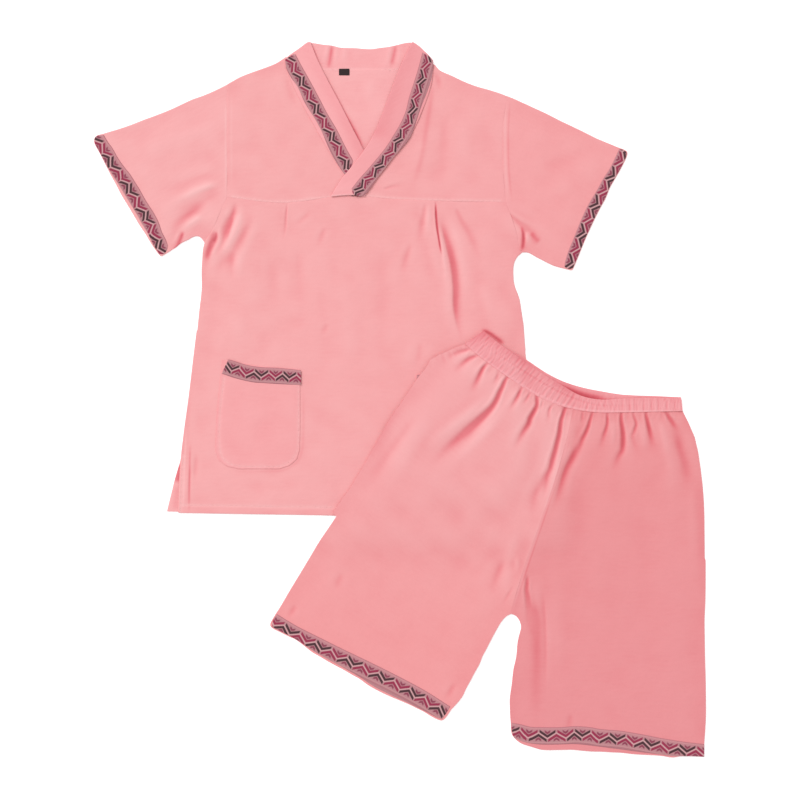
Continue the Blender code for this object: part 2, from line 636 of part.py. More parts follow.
def build_top(pink, ribbon, black):
    """The top's own pieces, from the back up."""
    def front_layer(plan, extra=0.0):
        return over(np.full(plan.shape[:2], extra), plan, top_front_height)

    sparse = even(6)
    to_armpit = [1, 1, 2, 1, 1, 1]
    back = lofted(
        [BACK_ABOVE_ARMPIT, BACK_TO_SLIT, BACK_BELOW_SLIT], even(10), even(10),
        [to_armpit, [1, 1, 1, 1, 1, 2], [1, 1]],
    )
    back[0] = on_curve(back[0], BACK_SHOULDERS)
    back = placed(back, TOP_MARK)
    back_armhole = slice(0, sum(to_armpit) + 1)
    build("top_back", Panel(back, np.zeros(back.shape[:2]), CLOTH), pink)

    to_armpit = [2, 2, 2]
    front = lofted(
        [FRONT_ABOVE_ARMPIT, FRONT_BELOW_ARMPIT], FRONT_TO_PLEAT, FRONT_PAST_PLEAT,
        [to_armpit, [1, 2, 2, 2, 2, 2, 1, 2]],
    )
    front[0] = on_curve(front[0], YOKE_SEAM, -SEAM_GAP / 2)
    front = placed(front, TOP_MARK)
    below_yoke = slice(1, sum(to_armpit) + 1)
    front_panel = Panel(front, front_layer(front), CLOTH)
    build("top_front", front_panel, pink)

    yokes = {}
    for side, sections in (("left", LEFT_YOKE), ("right", RIGHT_YOKE)):
        plan = lofted([sections], sparse, sparse, [[2] * (len(sections) - 1)])
        plan[-1] = on_curve(plan[-1], YOKE_SEAM, SEAM_GAP / 2)
        plan = placed(plan, TOP_MARK)
        yokes[side] = plan
        build("yoke_" + side, Panel(plan, front_layer(plan), CLOTH), pink)

    for side, column, sections, behind in (
        ("left", 0, LEFT_SLEEVE, LEFT_CUFF_BEHIND),
        ("right", -1, RIGHT_SLEEVE, RIGHT_CUFF_BEHIND),
    ):
        armhole = np.concatenate([yokes[side][:, column], front[below_yoke, column]]) - np.array(TOP_MARK)
        plan = placed(sleeve_plan(armhole, sections, [2, 2, 2, 2, 1]), TOP_MARK)
        sleeve = Panel(plan, front_layer(plan), CLOTH)
        build("sleeve_%s_front" % side, sleeve, pink)
        trim = lying_on(sleeve, slice(-2, None), slice(None), RIBBON)
        build("trim_cuff_" + side, trim, ribbon)
        armhole = back[back_armhole, column] - np.array(TOP_MARK)
        plan = placed(sleeve_plan(armhole, sections[:-1] + [behind], [2, 1, 1, 2, 1]), TOP_MARK)
        build("sleeve_%s_back" % side, Panel(plan, np.zeros(plan.shape[:2]), CLOTH), pink)

    build_neck(front_layer, back[0], pink, ribbon, black)

    for side, sections in (("left", LEFT_POCKET), ("right", RIGHT_POCKET)):
        plan = placed(lofted([sections], even(4), even(4), [[1, 2, 2, 1, 1, 1, 1]]), TOP_MARK)
        pocket = Panel(plan, front_layer(plan, CLOTH + SEAM_GAP), CLOTH)
        build("pocket_" + side, pocket, pink)
        build("trim_pocket_" + side, lying_on(pocket, slice(0, 2), slice(None), RIBBON), ribbon)


def build_neck(front_layer, back_edge, pink, ribbon, black):
    """The neck band's three stretches, the ribbon on two of them, and the tab in the back seam."""
    band_lift = CLOTH + LAYER_GAP
    ribbon_columns, plain_columns = even(2), even(3)
    trimmed = slice(0, len(ribbon_columns))
    crossing = placed(
        [RIGHT_BAND[-1].end, LEFT_BAND_TUCKED_END.start, LEFT_BAND_TUCKED_END.end], TOP_MARK
    )

    def band(sections, climb):
        plan = placed(
            lofted([sections], ribbon_columns, plain_columns, [[2] * (len(sections) - 1)]), TOP_MARK
        )
        gaps, _ = nearest(plan.reshape(-1, 2), crossing)
        lap = climb * (1.0 - ease((gaps - LAP_FLAT) / LAP_SLOPE)).reshape(plan.shape[:2])
        sink = (band_lift - BAND_LOW) * ease(np.array(BAND_SINK))[None] * (1.0 - lap)
        heights = front_layer(plan, band_lift) - sink + LAP_RISE * lap
        return Panel(plan, heights, CLOTH)

    left = band(LEFT_BAND + [LEFT_BAND_TUCKED_END], 0.0)
    right = band(RIGHT_BAND, 1.0)
    build("band_left", left, pink)
    build("band_right", right, pink)
    to_crossing = slice(0, 2 * (len(LEFT_BAND) - 1) + 1)
    build("trim_neck_left", lying_on(left, to_crossing, trimmed, RIBBON), ribbon)
    build("trim_neck_right", lying_on(right, slice(None), trimmed, RIBBON), ribbon)

    # The back stretch stands on the back's own edge points
    seam = np.array([point for point in back_edge if NECK_LEFT < point[0] - TOP_MARK[0] < NECK_RIGHT])
    seam[:, 1] += SEAM_GAP
    edge = smooth_line(placed(BACK_BAND_EDGE, TOP_MARK), [4] * (len(BACK_BAND_EDGE) - 1))
    edge = at_shares(edge, shares_of(seam))
    plan = np.stack([edge, (edge + seam) / 2, seam])
    build("band_back", Panel(plan, np.zeros(plan.shape[:2]), CLOTH), pink)

    corners = [[(TAB_LEFT, TAB_HIGH), (TAB_RIGHT, TAB_HIGH)], [(TAB_LEFT, TAB_LOW), (TAB_RIGHT, TAB_LOW)]]
    plan = placed(corners, TOP_MARK)
    build("neck_tab", Panel(plan, np.full((2, 2), CLOTH + SEAM_GAP), CLOTH), black)


def build_shorts(pink, ribbon):
    """The shorts' own pieces, from the back up."""
    def back_layer(plan, extra=0.0):
        return over(np.full(plan.shape[:2], extra), plan, shorts_back_height)

    def front_layer(plan):
        return over(back_layer(plan), plan, shorts_front_height)

    seam = [station.seam for station in WAIST]
    seam_line = smooth_line(seam, [6] * (len(seam) - 1))
    middle_seam = np.array(LEFT_LEG_UPPER[0].end, float)
    _, split = nearest(middle_seam[None], seam_line)

    def leg(upper, lower, share_from, share_to, inner, columns):
        to_crotch = [2] * (len(upper) - 1)
        plan = lofted([upper, lower], columns, columns, [to_crotch, [1] * (len(lower) - 1)])
        count = plan.shape[1]
        first = at_shares(seam_line, np.linspace(share_from, share_to, count))
        plan[0] = drawn_in(first, upper[1].middle, SEAM_GAP / 2)
        away = SEAM_GAP / 2 if inner == 0 else -SEAM_GAP / 2
        plan[: sum(to_crotch) + 1, inner, 0] += away
        return placed(plan, SHORTS_MARK)

    for side, upper, lower, behind, share_from, share_to, inner in (
        ("left", LEFT_LEG_UPPER, LEFT_LEG_LOWER, LEFT_HEM_BEHIND, 0.0, split[0], -1),
        ("right", RIGHT_LEG_UPPER, RIGHT_LEG_LOWER, RIGHT_HEM_BEHIND, split[0], 1.0, 0),
    ):
        plan = leg(upper, lower[:-1] + [behind], share_from, share_to, inner, even(8))
        if side == "right":
            plan[-1] = on_curve(plan[-1], placed(RIGHT_BACK_FOOT, SHORTS_MARK))
        build("leg_back_" + side, Panel(plan, back_layer(plan), CLOTH), pink)
        plan = leg(upper, lower, share_from, share_to, inner, even(16))
        if side == "right":
            plan[-2] = on_curve(plan[-2], placed(RIGHT_RIBBON_TOP, SHORTS_MARK))
            plan[-1] = on_curve(plan[-1], placed(RIGHT_RIBBON_FOOT, SHORTS_MARK))
        front = Panel(plan, front_layer(plan), CLOTH)
        build("leg_front_" + side, front, pink)
        build("trim_leg_" + side, lying_on(front, slice(-2, None), slice(0, None, 2), RIBBON), ribbon)

    # Every other column of the front band is the crest of a ruche
    front_lift = BAND + LAYER_GAP + WAIST_CLEARANCE
    for name, side, lift, steps in (
        ("waistband_back", "back", 0.0, 2), ("waistband_front", "front", front_lift, 2 * RUCHES),
    ):
        edge = smooth_line([getattr(station, side) for station in WAIST], [steps] * (len(WAIST) - 1))
        below = smooth_line(seam, [steps] * (len(seam) - 1))
        below = drawn_in(below, edge[len(edge) // 2], SEAM_GAP / 2)
        plan = placed(np.stack([edge, (edge + below) / 2, below]), SHORTS_MARK)
        ruches = None
        if side == "front":
            crest = RUCHE_RELIEF * (np.arange(plan.shape[1]) % 2)
            ruches = np.stack([RUCHE_AT_TOP * crest, crest, crest])
        build(name, Panel(plan, back_layer(plan, lift), BAND), pink, ruches)


for leftover in list(bpy.data.objects):
    bpy.data.objects.remove(leftover)

top_cotton = material("cotton_top", TOP_PINK, 0.85)
shorts_cotton = material("cotton_shorts", SHORTS_PINK, 0.85)
woven_ribbon = material("woven_ribbon", RIBBON_MAUVE, 0.7)
tab_tape = material("tab_tape", TAB_BLACK, 0.6)

build_top(top_cotton, woven_ribbon, tab_tape)
build_shorts(shorts_cotton, woven_ribbon)
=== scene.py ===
import math

import bmesh
import bpy
import numpy as np
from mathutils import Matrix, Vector
from mathutils.bvhtree import BVHTree
from mathutils.geometry import delaunay_2d_cdt


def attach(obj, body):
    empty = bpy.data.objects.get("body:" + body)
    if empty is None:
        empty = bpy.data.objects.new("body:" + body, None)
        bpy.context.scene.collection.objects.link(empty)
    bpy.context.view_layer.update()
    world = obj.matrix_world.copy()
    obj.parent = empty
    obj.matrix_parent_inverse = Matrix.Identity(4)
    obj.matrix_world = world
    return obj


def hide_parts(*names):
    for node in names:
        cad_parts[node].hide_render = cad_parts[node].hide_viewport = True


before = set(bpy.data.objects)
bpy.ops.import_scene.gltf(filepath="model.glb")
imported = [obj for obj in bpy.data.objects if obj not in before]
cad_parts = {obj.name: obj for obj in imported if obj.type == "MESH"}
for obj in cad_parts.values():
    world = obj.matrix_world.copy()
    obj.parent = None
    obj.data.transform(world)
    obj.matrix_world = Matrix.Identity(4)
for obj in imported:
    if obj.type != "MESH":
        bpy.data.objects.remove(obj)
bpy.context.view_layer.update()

mm = 0.001

# The photo looks straight down, so a pixel of it is a place on the floor
photo = {"mmPerPixel": 1.5, "middleX": 399.2, "middleY": 400.4, "pixels": 800}

# What a piece of cloth is like where its own recipe doesn't say otherwise, in millimetres
cloth = {
    "thickness": 0.8,          # what a layer of the cotton looks like
    "coarse": 4.2,             # between points where the cloth is smooth
    "fine": 1.9,               # beside its creases
    "finest": 1.25,            # and in its sharpest ones
    "step": 1.5,               # between the points of its height grid
    "meet": 0.3,               # that a cut edge is let out, so that seams close
    "soften": 4.5,             # how far the solid's facets are blurred
    "finish": 1.3,             # and the finished surface
    "drift": 0.14,             # the slow unevenness of cloth that lies loose
    "settle": 12.0,            # in from an edge where a crease has reached its depth
    "gap": 0.25,               # air over the piece below
    "lies": False,             # whether it follows the piece below instead of its solid
    "pillow": 0.0,             # how far its middle stands up
    "rimDrop": 0.12,
    "grain": 0.0,              # degrees that its weave is turned
    "contrast": 1.0,           # how strongly its hollows are painted in shade
    "reshape": (), "seams": (), "crinkle": (),
}

# What all the pieces share, in millimetres
make = {
    "cornerAngle": 26,         # degrees, a sharper turn of a solid's outline stays a corner
    "sharpWidth": 7.5,         # a crease no wider than this is a sharp one
    "softWidth": 30.0,         # and a wider one than this needs no finer points
    "rimRound": 1.2,           # in from an edge where it rolls down
    "rimOut": 0.18,            # that the rim's middle stands out
    "rimQuiet": 3.0,           # beside the rim only the softened surface counts
    "crisp": 0.7,              # the share of the unsoftened surface elsewhere
    "edgeDepth": 0.35,         # the share of its depth that a crease keeps at an edge
    "pillowReach": 10.0,
    "driftReach": 11.0,
    "hollowReach": 9.0,        # how wide a hollow still counts, for the painted shade in creases
    "edgeReach": 16.0,         # how far in from its edge a piece is measured, about
    "clearance": 0.02,         # between the underside and the floor
    "smallest": 10.5,          # side of a sheet's flat size
    "seed": 11,
    "quickly": 1.6,
}
far = 1e3                      # mm, beyond every piece

studio = {
    "sky": 0.74,
    "sunStrength": 1.8,
    "sunHeight": 44.0,         # degrees above the floor
    "sunFrom": 132.0,          # degrees, from the upper left as the camera sees it
    "sunSoftness": 34.0,       # degrees across
    "floorSize": 12.0,
    "floorWhite": 0.94,
    "floorGlow": 0.3,          # a light table, which keeps shadows on it faint
    "cameraHeight": 3.2,
    "sensor": 36.0,
}
fullLight = studio["sky"] + studio["sunStrength"] * math.sin(math.radians(studio["sunHeight"])) / math.pi


# Plane geometry, in millimetres

def fromPhoto(points):
    points = np.asarray(points, float).reshape(-1, 2)
    x = (points[:, 0] - photo["middleX"]) * photo["mmPerPixel"]
    y = (photo["middleY"] - points[:, 1]) * photo["mmPerPixel"]
    return np.stack([x, y], axis=1)


def lengthsAlong(line):
    return np.concatenate([[0.0], np.cumsum(np.linalg.norm(np.diff(line, axis=0), axis=1))])


def evenly(line, spacing):
    along = lengthsAlong(line)
    count = max(int(round(along[-1] / spacing)), 1)
    at = np.linspace(0.0, along[-1], count + 1)
    return np.stack([np.interp(at, along, line[:, k]) for k in (0, 1)], axis=1)


def smoothLine(points, steps=8):
    # A curve through the points. A long side keeps its own direction at its ends.
    points = np.asarray(points, float)
    if len(points) < 3:
        return evenly(points, max(np.linalg.norm(points[-1] - points[0]) / steps, 1e-6))
    runs = np.diff(points, axis=0)
    spans = np.linalg.norm(runs, axis=1)
    ways = runs / np.maximum(spans, 1e-9)[:, None]
    slopes = np.zeros_like(points)
    slopes[0], slopes[-1] = ways[0], ways[-1]
    weighted = ways[:-1] * spans[:-1, None] + ways[1:] * spans[1:, None]
    slopes[1:-1] = weighted / (spans[:-1] + spans[1:])[:, None]
    line = [points[0]]
    for i, span in enumerate(spans):
        for t in np.arange(1, steps + 1) / steps:
            line.append(
                points[i] * (1 + 2 * t) * (1 - t) ** 2 + points[i + 1] * t * t * (3 - 2 * t)
                + slopes[i] * span * t * (1 - t) ** 2 - slopes[i + 1] * span * t * t * (1 - t)
            )
    return np.array(line)


def nearestOn(points, line):
    # Distance to the line, the share of its length, and the side: positive is to its left
    points = np.asarray(points, float)
    gap = np.full(len(points), 1e9)
    share = np.zeros(len(points))
    side = np.zeros(len(points))
    along = lengthsAlong(line)
    for i in range(len(line) - 1):
        run = line[i + 1] - line[i]
        square = max(run @ run, 1e-9)
        away = points - line[i]
        t = np.clip(away @ run / square, 0.0, 1.0)
        distance = np.hypot(away[:, 0] - run[0] * t, away[:, 1] - run[1] * t)
        closer = distance < gap
        gap[closer] = distance[closer]
        share[closer] = (along[i] + t[closer] * math.sqrt(square)) / along[-1]
        side[closer] = np.sign(run[0] * away[closer, 1] - run[1] * away[closer, 0])
    return gap, share, side


def insideOf(points, outline):
    x, y = points[:, 0], points[:, 1]
    found = np.zeros(len(x), bool)
    for (x1, y1), (x2, y2) in zip(outline, np.roll(outline, -1, axis=0)):
        if y1 != y2:
            found ^= ((y1 > y) != (y2 > y)) & (x < (x2 - x1) * (y - y1) / (y2 - y1) + x1)
    return found


def boxed(points, line, reach):
    return ((points > line.min(axis=0) - reach) & (points < line.max(axis=0) + reach)).all(axis=1)


def ease(value):
    value = np.clip(value, 0.0, 1.0)
    return value * value * (3.0 - 2.0 * value)


# Height fields: a piece's top surface on a square grid, in millimetres

def blurred(values, sigma):
    reach = max(int(sigma * 3), 1)
    kernel = np.exp(-0.5 * (np.arange(-reach, reach + 1) / sigma) ** 2)
    kernel /= kernel.sum()
    for axis in (0, 1):
        padded = np.pad(values, [(reach, reach) if k == axis else (0, 0) for k in (0, 1)])
        values = sum(
            weight * np.take(padded, range(i, i + values.shape[axis]), axis=axis)
            for i, weight in enumerate(kernel)
        )
    return values


class Field:
    def __init__(self, outline, step):
        self.step = step
        self.low = outline.min(axis=0) - 6 * step
        size = outline.max(axis=0) + 6 * step - self.low
        self.shape = tuple(int(math.ceil(v / step)) + 1 for v in size[::-1])
        y, x = np.mgrid[0 : self.shape[0], 0 : self.shape[1]] * step
        self.points = np.stack([x.ravel() + self.low[0], y.ravel() + self.low[1]], axis=1)
        self.mask = insideOf(self.points, outline).reshape(self.shape)
        self.values = np.zeros(self.shape)

    def soften(self, values, reach):
        weight = self.mask.astype(float)
        sigma = reach / self.step
        return blurred(values * weight, sigma) / np.maximum(blurred(weight, sigma), 1e-3)

    def at(self, points, values=None):
        values = self.values if values is None else values
        place = (np.asarray(points) - self.low) / self.step
        column = np.clip(place[:, 0], 0, self.shape[1] - 1.001)
        row = np.clip(place[:, 1], 0, self.shape[0] - 1.001)
        j, i = column.astype(int), row.astype(int)
        fx, fy = column - j, row - i
        return (
            values[i, j] * (1 - fx) * (1 - fy) + values[i, j + 1] * fx * (1 - fy)
            + values[i + 1, j] * (1 - fx) * fy + values[i + 1, j + 1] * fx * fy
        )

    def covers(self, points):
        return self.at(points, self.mask.astype(float)) > 0.5


# What the CAD node gives: its outline seen from above, and its upper surface

def upperSide(node):
    mesh = bmesh.new()
    mesh.from_mesh(bpy.data.objects[node].data)
    bmesh.ops.remove_doubles(mesh, verts=mesh.verts, dist=1e-6)
    mesh.normal_update()
    wallSlope = 0.25
    below = [face for face in mesh.faces if face.normal.z < wallSlope]
    bmesh.ops.delete(mesh, geom=below, context="FACES")
    return mesh


def outlineOf(mesh):
    onward = {}
    for edge in mesh.edges:
        if len(edge.link_faces) == 1:
            loop = edge.link_loops[0]
            onward[loop.vert] = loop.link_loop_next.vert
    start = max(onward, key=lambda vertex: (vertex.co.y, vertex.co.x))
    ring, vertex = [], start
    while True:
        ring.append((vertex.co.x / mm, vertex.co.y / mm))
        vertex = onward[vertex]
        if vertex == start or len(ring) > len(onward):
            break
    return np.array(ring)


def turnsOf(ring):
    before = ring - np.roll(ring, 1, axis=0)
    after = np.roll(ring, -1, axis=0) - ring
    cross = before[:, 0] * after[:, 1] - before[:, 1] * after[:, 0]
    return np.degrees(np.abs(np.arctan2(cross, (before * after).sum(axis=1))))


def smoothRing(ring, cornerAngle, spacing, longest=15.0):
    # The outline's own corners stay, and the stretches between them become curves
    ring = np.array([ring[i] for i in range(len(ring)) if np.linalg.norm(ring[i] - ring[i - 1]) > 0.05])
    corners = [i for i, turn in enumerate(turnsOf(ring)) if turn > cornerAngle] or [0]
    made = []
    for k, first in enumerate(corners):
        last = corners[(k + 1) % len(corners)]
        if last <= first:
            last += len(ring)
        chain = ring[[i % len(ring) for i in range(first, last + 1)]]
        split = [chain[0]]
        for a, b in zip(chain, chain[1:]):
            parts = max(int(math.ceil(np.linalg.norm(b - a) / longest)), 1)
            split.extend(a + (b - a) * t / parts for t in range(1, parts + 1))
        made.extend(evenly(smoothLine(split, 6), spacing)[:-1])
    return np.array(made)


def nearestIndex(ring, place):
    return int(np.linalg.norm(ring - place, axis=1).argmin())


def reshaped(ring, path, spacing):
    # A stretch of the outline is laid along a path in the photo instead
    line = evenly(smoothLine(fromPhoto(path), 6), spacing)
    first, last = nearestIndex(ring, line[0]), nearestIndex(ring, line[-1])
    count = len(ring)
    forward, backward = (last - first) % count, (first - last) % count
    if forward > backward:
        line, first, last = line[::-1], last, first
    kept = [(last + i) % count for i in range(1, (first - last) % count)]
    return np.concatenate([line, ring[kept]])


def ringOf(paths, spacing):
    # A whole outline from paths in the photo, which meet at corners
    parts = [evenly(smoothLine(fromPhoto(path), 6), spacing)[:-1] for path in paths]
    return np.concatenate(parts)


def stretchOf(ring, first, last):
    # The ring's points from one to another, onward and past its start if need be
    count = len(ring)
    return ring[[i % count for i in range(first, last + 1 + (count if last < first else 0))]]


def chainBetween(ring, start, end):
    # The shorter way round the ring
    first, last = nearestIndex(ring, start), nearestIndex(ring, end)
    forward = stretchOf(ring, first, last)
    backward = stretchOf(ring, last, first)[::-1]
    return forward if lengthsAlong(forward)[-1] < lengthsAlong(backward)[-1] else backward


def drawnIn(ring, amount):
    # The ring moved inward, or outward by a negative amount
    run = np.roll(ring, -1, axis=0) - np.roll(ring, 1, axis=0)
    run /= np.maximum(np.linalg.norm(run, axis=1), 1e-9)[:, None]
    around = np.roll(ring, -1, axis=0)
    turning = (ring[:, 0] * around[:, 1] - ring[:, 1] * around[:, 0]).sum()
    inward = np.stack([-run[:, 1], run[:, 0]], axis=1) * math.copysign(1.0, turning)
    moved = ring + inward * amount
    if amount > 0.3:
        moved = moved[insideOf(moved, ring)]
        moved = moved[nearestOn(moved, np.concatenate([ring, ring[:1]]))[0] > 0.7 * amount]
    return moved


def movedLeft(line, amount):
    run = np.gradient(line, axis=0)
    run /= np.maximum(np.linalg.norm(run, axis=1), 1e-9)[:, None]
    moved = line + np.stack([-run[:, 1], run[:, 0]], axis=1) * amount
    return moved[nearestOn(moved, line)[0] > 0.93 * abs(amount)] if amount else moved


def besideLine(line, amount, ring):
    # The line moved sideways, into the ring
    left, right = movedLeft(line, amount), movedLeft(line, -amount)
    return left if insideOf(left, ring).sum() >= insideOf(right, ring).sum() else right


def alongEdge(points, ring, start, end, spare=60.0):
    # How far along an edge and how far in from it, straight on past both of its ends
    side = evenly(chainBetween(ring, *fromPhoto([start, end])), 4.0)
    side = side[2:-2] if len(side) > 9 else side
    back = min(5, len(side) - 1)
    before, after = side[0] - side[back], side[-1] - side[-1 - back]
    line = np.concatenate([
        [side[0] + before / np.linalg.norm(before) * spare],
        side,
        [side[-1] + after / np.linalg.norm(after) * spare],
    ])
    away, share, _ = nearestOn(points, line)
    return share * lengthsAlong(line)[-1] - spare, away


# Creases, placed along paths in the photo. A row gives how it starts, its width
# and height in mm (a trough is negative), which side lies over it, and its path.
# "seam" is deep from its start, "free" fades in, and the last kind is a stroke of painted shade in the colour
# alone, or of painted highlight where its height is negative.

creaseShape = {
    "reach": 2.4,              # widths, how far from its path a crease still counts
    "widens": {"seam": 1.1, "free": 0.4, "tone": 0.4},
    "bells": ((0.6, 3.2), (0.4, 0.9)),     # share and steepness of the two that make its trough
    "ridge": (0.28, 1.9, 2.2),             # height, place in half widths and steepness of those beside it
    "lap": (0.5, 0.7, 0.9),                # the same for the side that lies over it
    "lapWidth": 1.9,                       # mm, at most
    "farRidge": 0.35,                      # what is left of the other ridge then
    "fadeOut": {"seam": 0.85, "free": 0.6},
    "fadeIn": 0.3,
    "toneFade": 0.25,
}


def bell(value, centre, steepness):
    return np.exp(-steepness * (value - centre) ** 2)


def creaseHeights(points, creases, wanted="height"):
    shape = creaseShape
    total = np.zeros(len(points))
    for start, width, depth, lean, path in creases:
        if (start == "tone") != (wanted == "tone"):
            continue
        path = smoothLine(fromPhoto(path))
        near = boxed(points, path, shape["reach"] * width)
        if not near.any():
            continue
        gap, share, side = nearestOn(points[near], path)
        half = width / 2 * (1.0 + shape["widens"][start] * (share - 0.4))
        across = gap / half
        body = sum(part * bell(across, 0.0, steepness) for part, steepness in shape["bells"])
        # A stroke paints shade into the colour alone, or a highlight where its height is negative
        if start == "tone":
            ends = ease((1.0 - share) / shape["toneFade"]) * ease(share / shape["toneFade"])
            total[near] += depth * body * ends
            continue
        height, place, steepness = shape["ridge"]
        ridges = height * bell(across, place, steepness)
        if lean:          # one side rolls over the trough, as a pleat does
            over = side * lean > 0
            roll = ease(gap / min(shape["lapWidth"], 0.6 * half.mean()))
            body = np.where(over, body * (1.0 - roll), body)
            height, place, steepness = shape["lap"]
            lap = height * roll * bell(across, place, steepness)
            ridges = np.where(over, lap, shape["farRidge"] * ridges)
        fade = ease((1.0 - share) / shape["fadeOut"][start])
        if start == "free":
            fade = fade * ease(share / shape["fadeIn"])
        total[near] += depth * (body - ridges) * fade
    return total


def creaseZone(points, creases, widest):
    # Whether each point lies in a crease that is no wider than the widest
    found = np.zeros(len(points), bool)
    for _, width, _, _, path in creases:
        if width > widest:
            continue
        path = smoothLine(fromPhoto(path), 4)
        reach = 0.8 * width + 2
        near = boxed(points, path, reach)
        if near.any():
            found[near] |= nearestOn(points[near], path)[0] < reach
    return found


def lattice(low, high, spacing):
    rows = np.arange(low[1], high[1], spacing * math.sqrt(3) / 2)
    columns = np.arange(low[0], high[0], spacing)
    x, y = np.meshgrid(columns, rows)
    x[1::2] += spacing / 2
    return np.stack([x.ravel(), y.ravel()], axis=1)


# Sewing: rows of stitches that draw the cloth in a little

sewing = {
    "pitch": 3.0, "length": 2.2, "width": 0.62, "height": 0.3,
    "sink": 0.12, "foot": 0.02, "root": -0.2,      # where a stitch's ends, sides and underside lie
    "reach": 12.0,             # mm, how far from its line sewing still counts
    "groove": 0.2, "grooveReach": 0.8,
    "pucker": 0.1, "puckerReach": 4.5, "puckerPitch": 8.5,
    "wander": 1.7, "wanderReach": 31.0,
    "allowance": 0.22,         # mm that the cloth stands up over its turned-in edge
    "allowanceSlope": 1.6,
    "paler": 0.55, "paleReach": 2.0,
    "rails": 1.3,              # mm, the mesh's own lines beside a seam
    "railSpacing": 1.6,
}


def sewnLines(ring, seams):
    # A seam is an edge of the piece with how far in from it, or a path of its own
    made = []
    for seam in seams:
        if "path" in seam:
            made.append((smoothLine(fromPhoto(seam["path"]), 6), None, 0.0))
        else:
            edge = evenly(chainBetween(ring, *fromPhoto(seam["edge"])), 2.0)
            for inset in seam["insets"]:
                line = besideLine(edge, inset, ring)
                if len(line) > 3:
                    made.append((line, edge, inset if seam.get("raised", True) else 0.0))
    return made


def sewnHeights(points, lines):
    total = np.zeros(len(points))
    for line, edge, inset in lines:
        near = boxed(points, line, sewing["reach"])
        if not near.any():
            continue
        gap, share, _ = nearestOn(points[near], line)
        along = share * lengthsAlong(line)[-1]
        wander = sewing["wander"] * np.sin(along / sewing["wanderReach"])
        wave = np.sin(2 * math.pi * along / sewing["puckerPitch"] + wander)
        total[near] -= sewing["groove"] * np.exp(-(gap / sewing["grooveReach"]) ** 2)
        total[near] += sewing["pucker"] * wave * np.exp(-(gap / sewing["puckerReach"]) ** 2)
        if inset:
            slope = sewing["allowanceSlope"]
            fromEdge = nearestOn(points[near], edge)[0]
            past = ease((fromEdge - inset + slope / 2) / slope)
            total[near] += sewing["allowance"] * (1.0 - past) * ease(fromEdge)
    return total


def chooseOnly(item):
    bpy.ops.object.select_all(action="DESELECT")
    item.select_set(True)
    bpy.context.view_layer.objects.active = item


def rowOfStitches(name, lines, heightOf, material):
    corners, faces = [], []
    for line, _, _ in lines:
        along = lengthsAlong(line)
        starts = np.arange(sewing["pitch"] / 2, along[-1] - sewing["length"], sewing["pitch"])
        for start in starts:
            ends = np.array([
                [np.interp(start + t * sewing["length"], along, line[:, k]) for k in (0, 1)]
                for t in (0, 0.5, 1)
            ])
            way = ends[2] - ends[0]
            if np.linalg.norm(way) < 0.5 * sewing["length"]:
                continue
            across = np.array([-way[1], way[0]]) / np.linalg.norm(way) * sewing["width"] / 2
            z = heightOf(ends)
            first = len(corners)
            corners.append((*ends[0], z[0] - sewing["sink"]))
            corners.append((*ends[2], z[2] - sewing["sink"]))
            foot, root = sewing["foot"], sewing["root"]
            for sideways, up in ((1, foot), (0, sewing["height"]), (-1, foot), (0, root)):
                place = ends[1] + across * sideways
                corners.append((*place, z[1] + up))
            for k in range(4):
                a, b = first + 2 + k, first + 2 + (k + 1) % 4
                faces += [(first, a, b), (first + 1, b, a)]
    data = bpy.data.meshes.new(name)
    data.from_pydata([tuple(v * mm for v in corner) for corner in corners], [], faces)
    mesh = bmesh.new()
    mesh.from_mesh(data)
    bmesh.ops.recalc_face_normals(mesh, faces=mesh.faces)
    mesh.to_mesh(data)
    mesh.free()
    stitches = bpy.data.objects.new(name, data)
    bpy.context.scene.collection.objects.link(stitches)
    data.materials.append(material)
    chooseOnly(stitches)
    bpy.ops.object.shade_smooth()
    return stitches


pieces = {}


def seatUnder(piece, points):
    # The lowest that a piece may lie at any points, over the pieces below it
    recipe = piece["recipe"]
    seat = np.full(len(points), -far)
    for lower in piece["rests"]:
        under = pieces[lower]["field"]
        seat = np.where(under.covers(points), np.maximum(seat, under.at(points)), seat)
    return seat + (recipe["gap"] + recipe["thickness"])


def surfaceOf(piece, points):
    # The height of a piece's upper side at any points inside it
    recipe, field = piece["recipe"], piece["field"]
    relief = creaseHeights(points, piece["creases"])
    relief += crinkled(points, piece["ring"], recipe["crinkle"])
    settled = field.at(points, piece["settled"])
    inFrom = field.at(points, piece["inFrom"])
    shallow = make["edgeDepth"]
    pillow = recipe["pillow"] * ease(inFrom / make["pillowReach"])
    heights = field.at(points, piece["form"]) + relief * (shallow + (1.0 - shallow) * settled)
    heights += pillow
    seat = seatUnder(piece, points)
    if recipe["lies"]:
        heights = np.where(seat > 0, seat + pillow, heights)
    return np.maximum(np.maximum(heights, seat), recipe["thickness"] + make["clearance"])


def crinkled(points, ring, rows):
    # Elastic draws the cloth into small folds that run across it and wander a little
    total = np.zeros(len(points))
    for edge, pitch, depth, reach in rows:
        along, away = alongEdge(points, ring, *edge)
        along = along + 1.3 * np.sin(along / 7.3) + 0.8 * np.sin(along / 3.1 + 2.0)
        wander = 1.6 * np.sin(away / 9.0 + along / 23.0) + 1.1 * np.sin(away / 5.0 - along / 37.0 + 1.0)
        total += depth * (1.0 - ease(away / reach)) * (
            0.5 * np.sin(2 * math.pi * (along + wander) / pitch)
            + 0.34 * np.sin(2 * math.pi * (along - 0.8 * wander) / (1.47 * pitch) + 1.3 + away / 13.0)
            + 0.3 * np.sin(2 * math.pi * (along + 0.5 * wander) / (2.3 * pitch) + 0.4 - away / 17.0)
        )
    return total


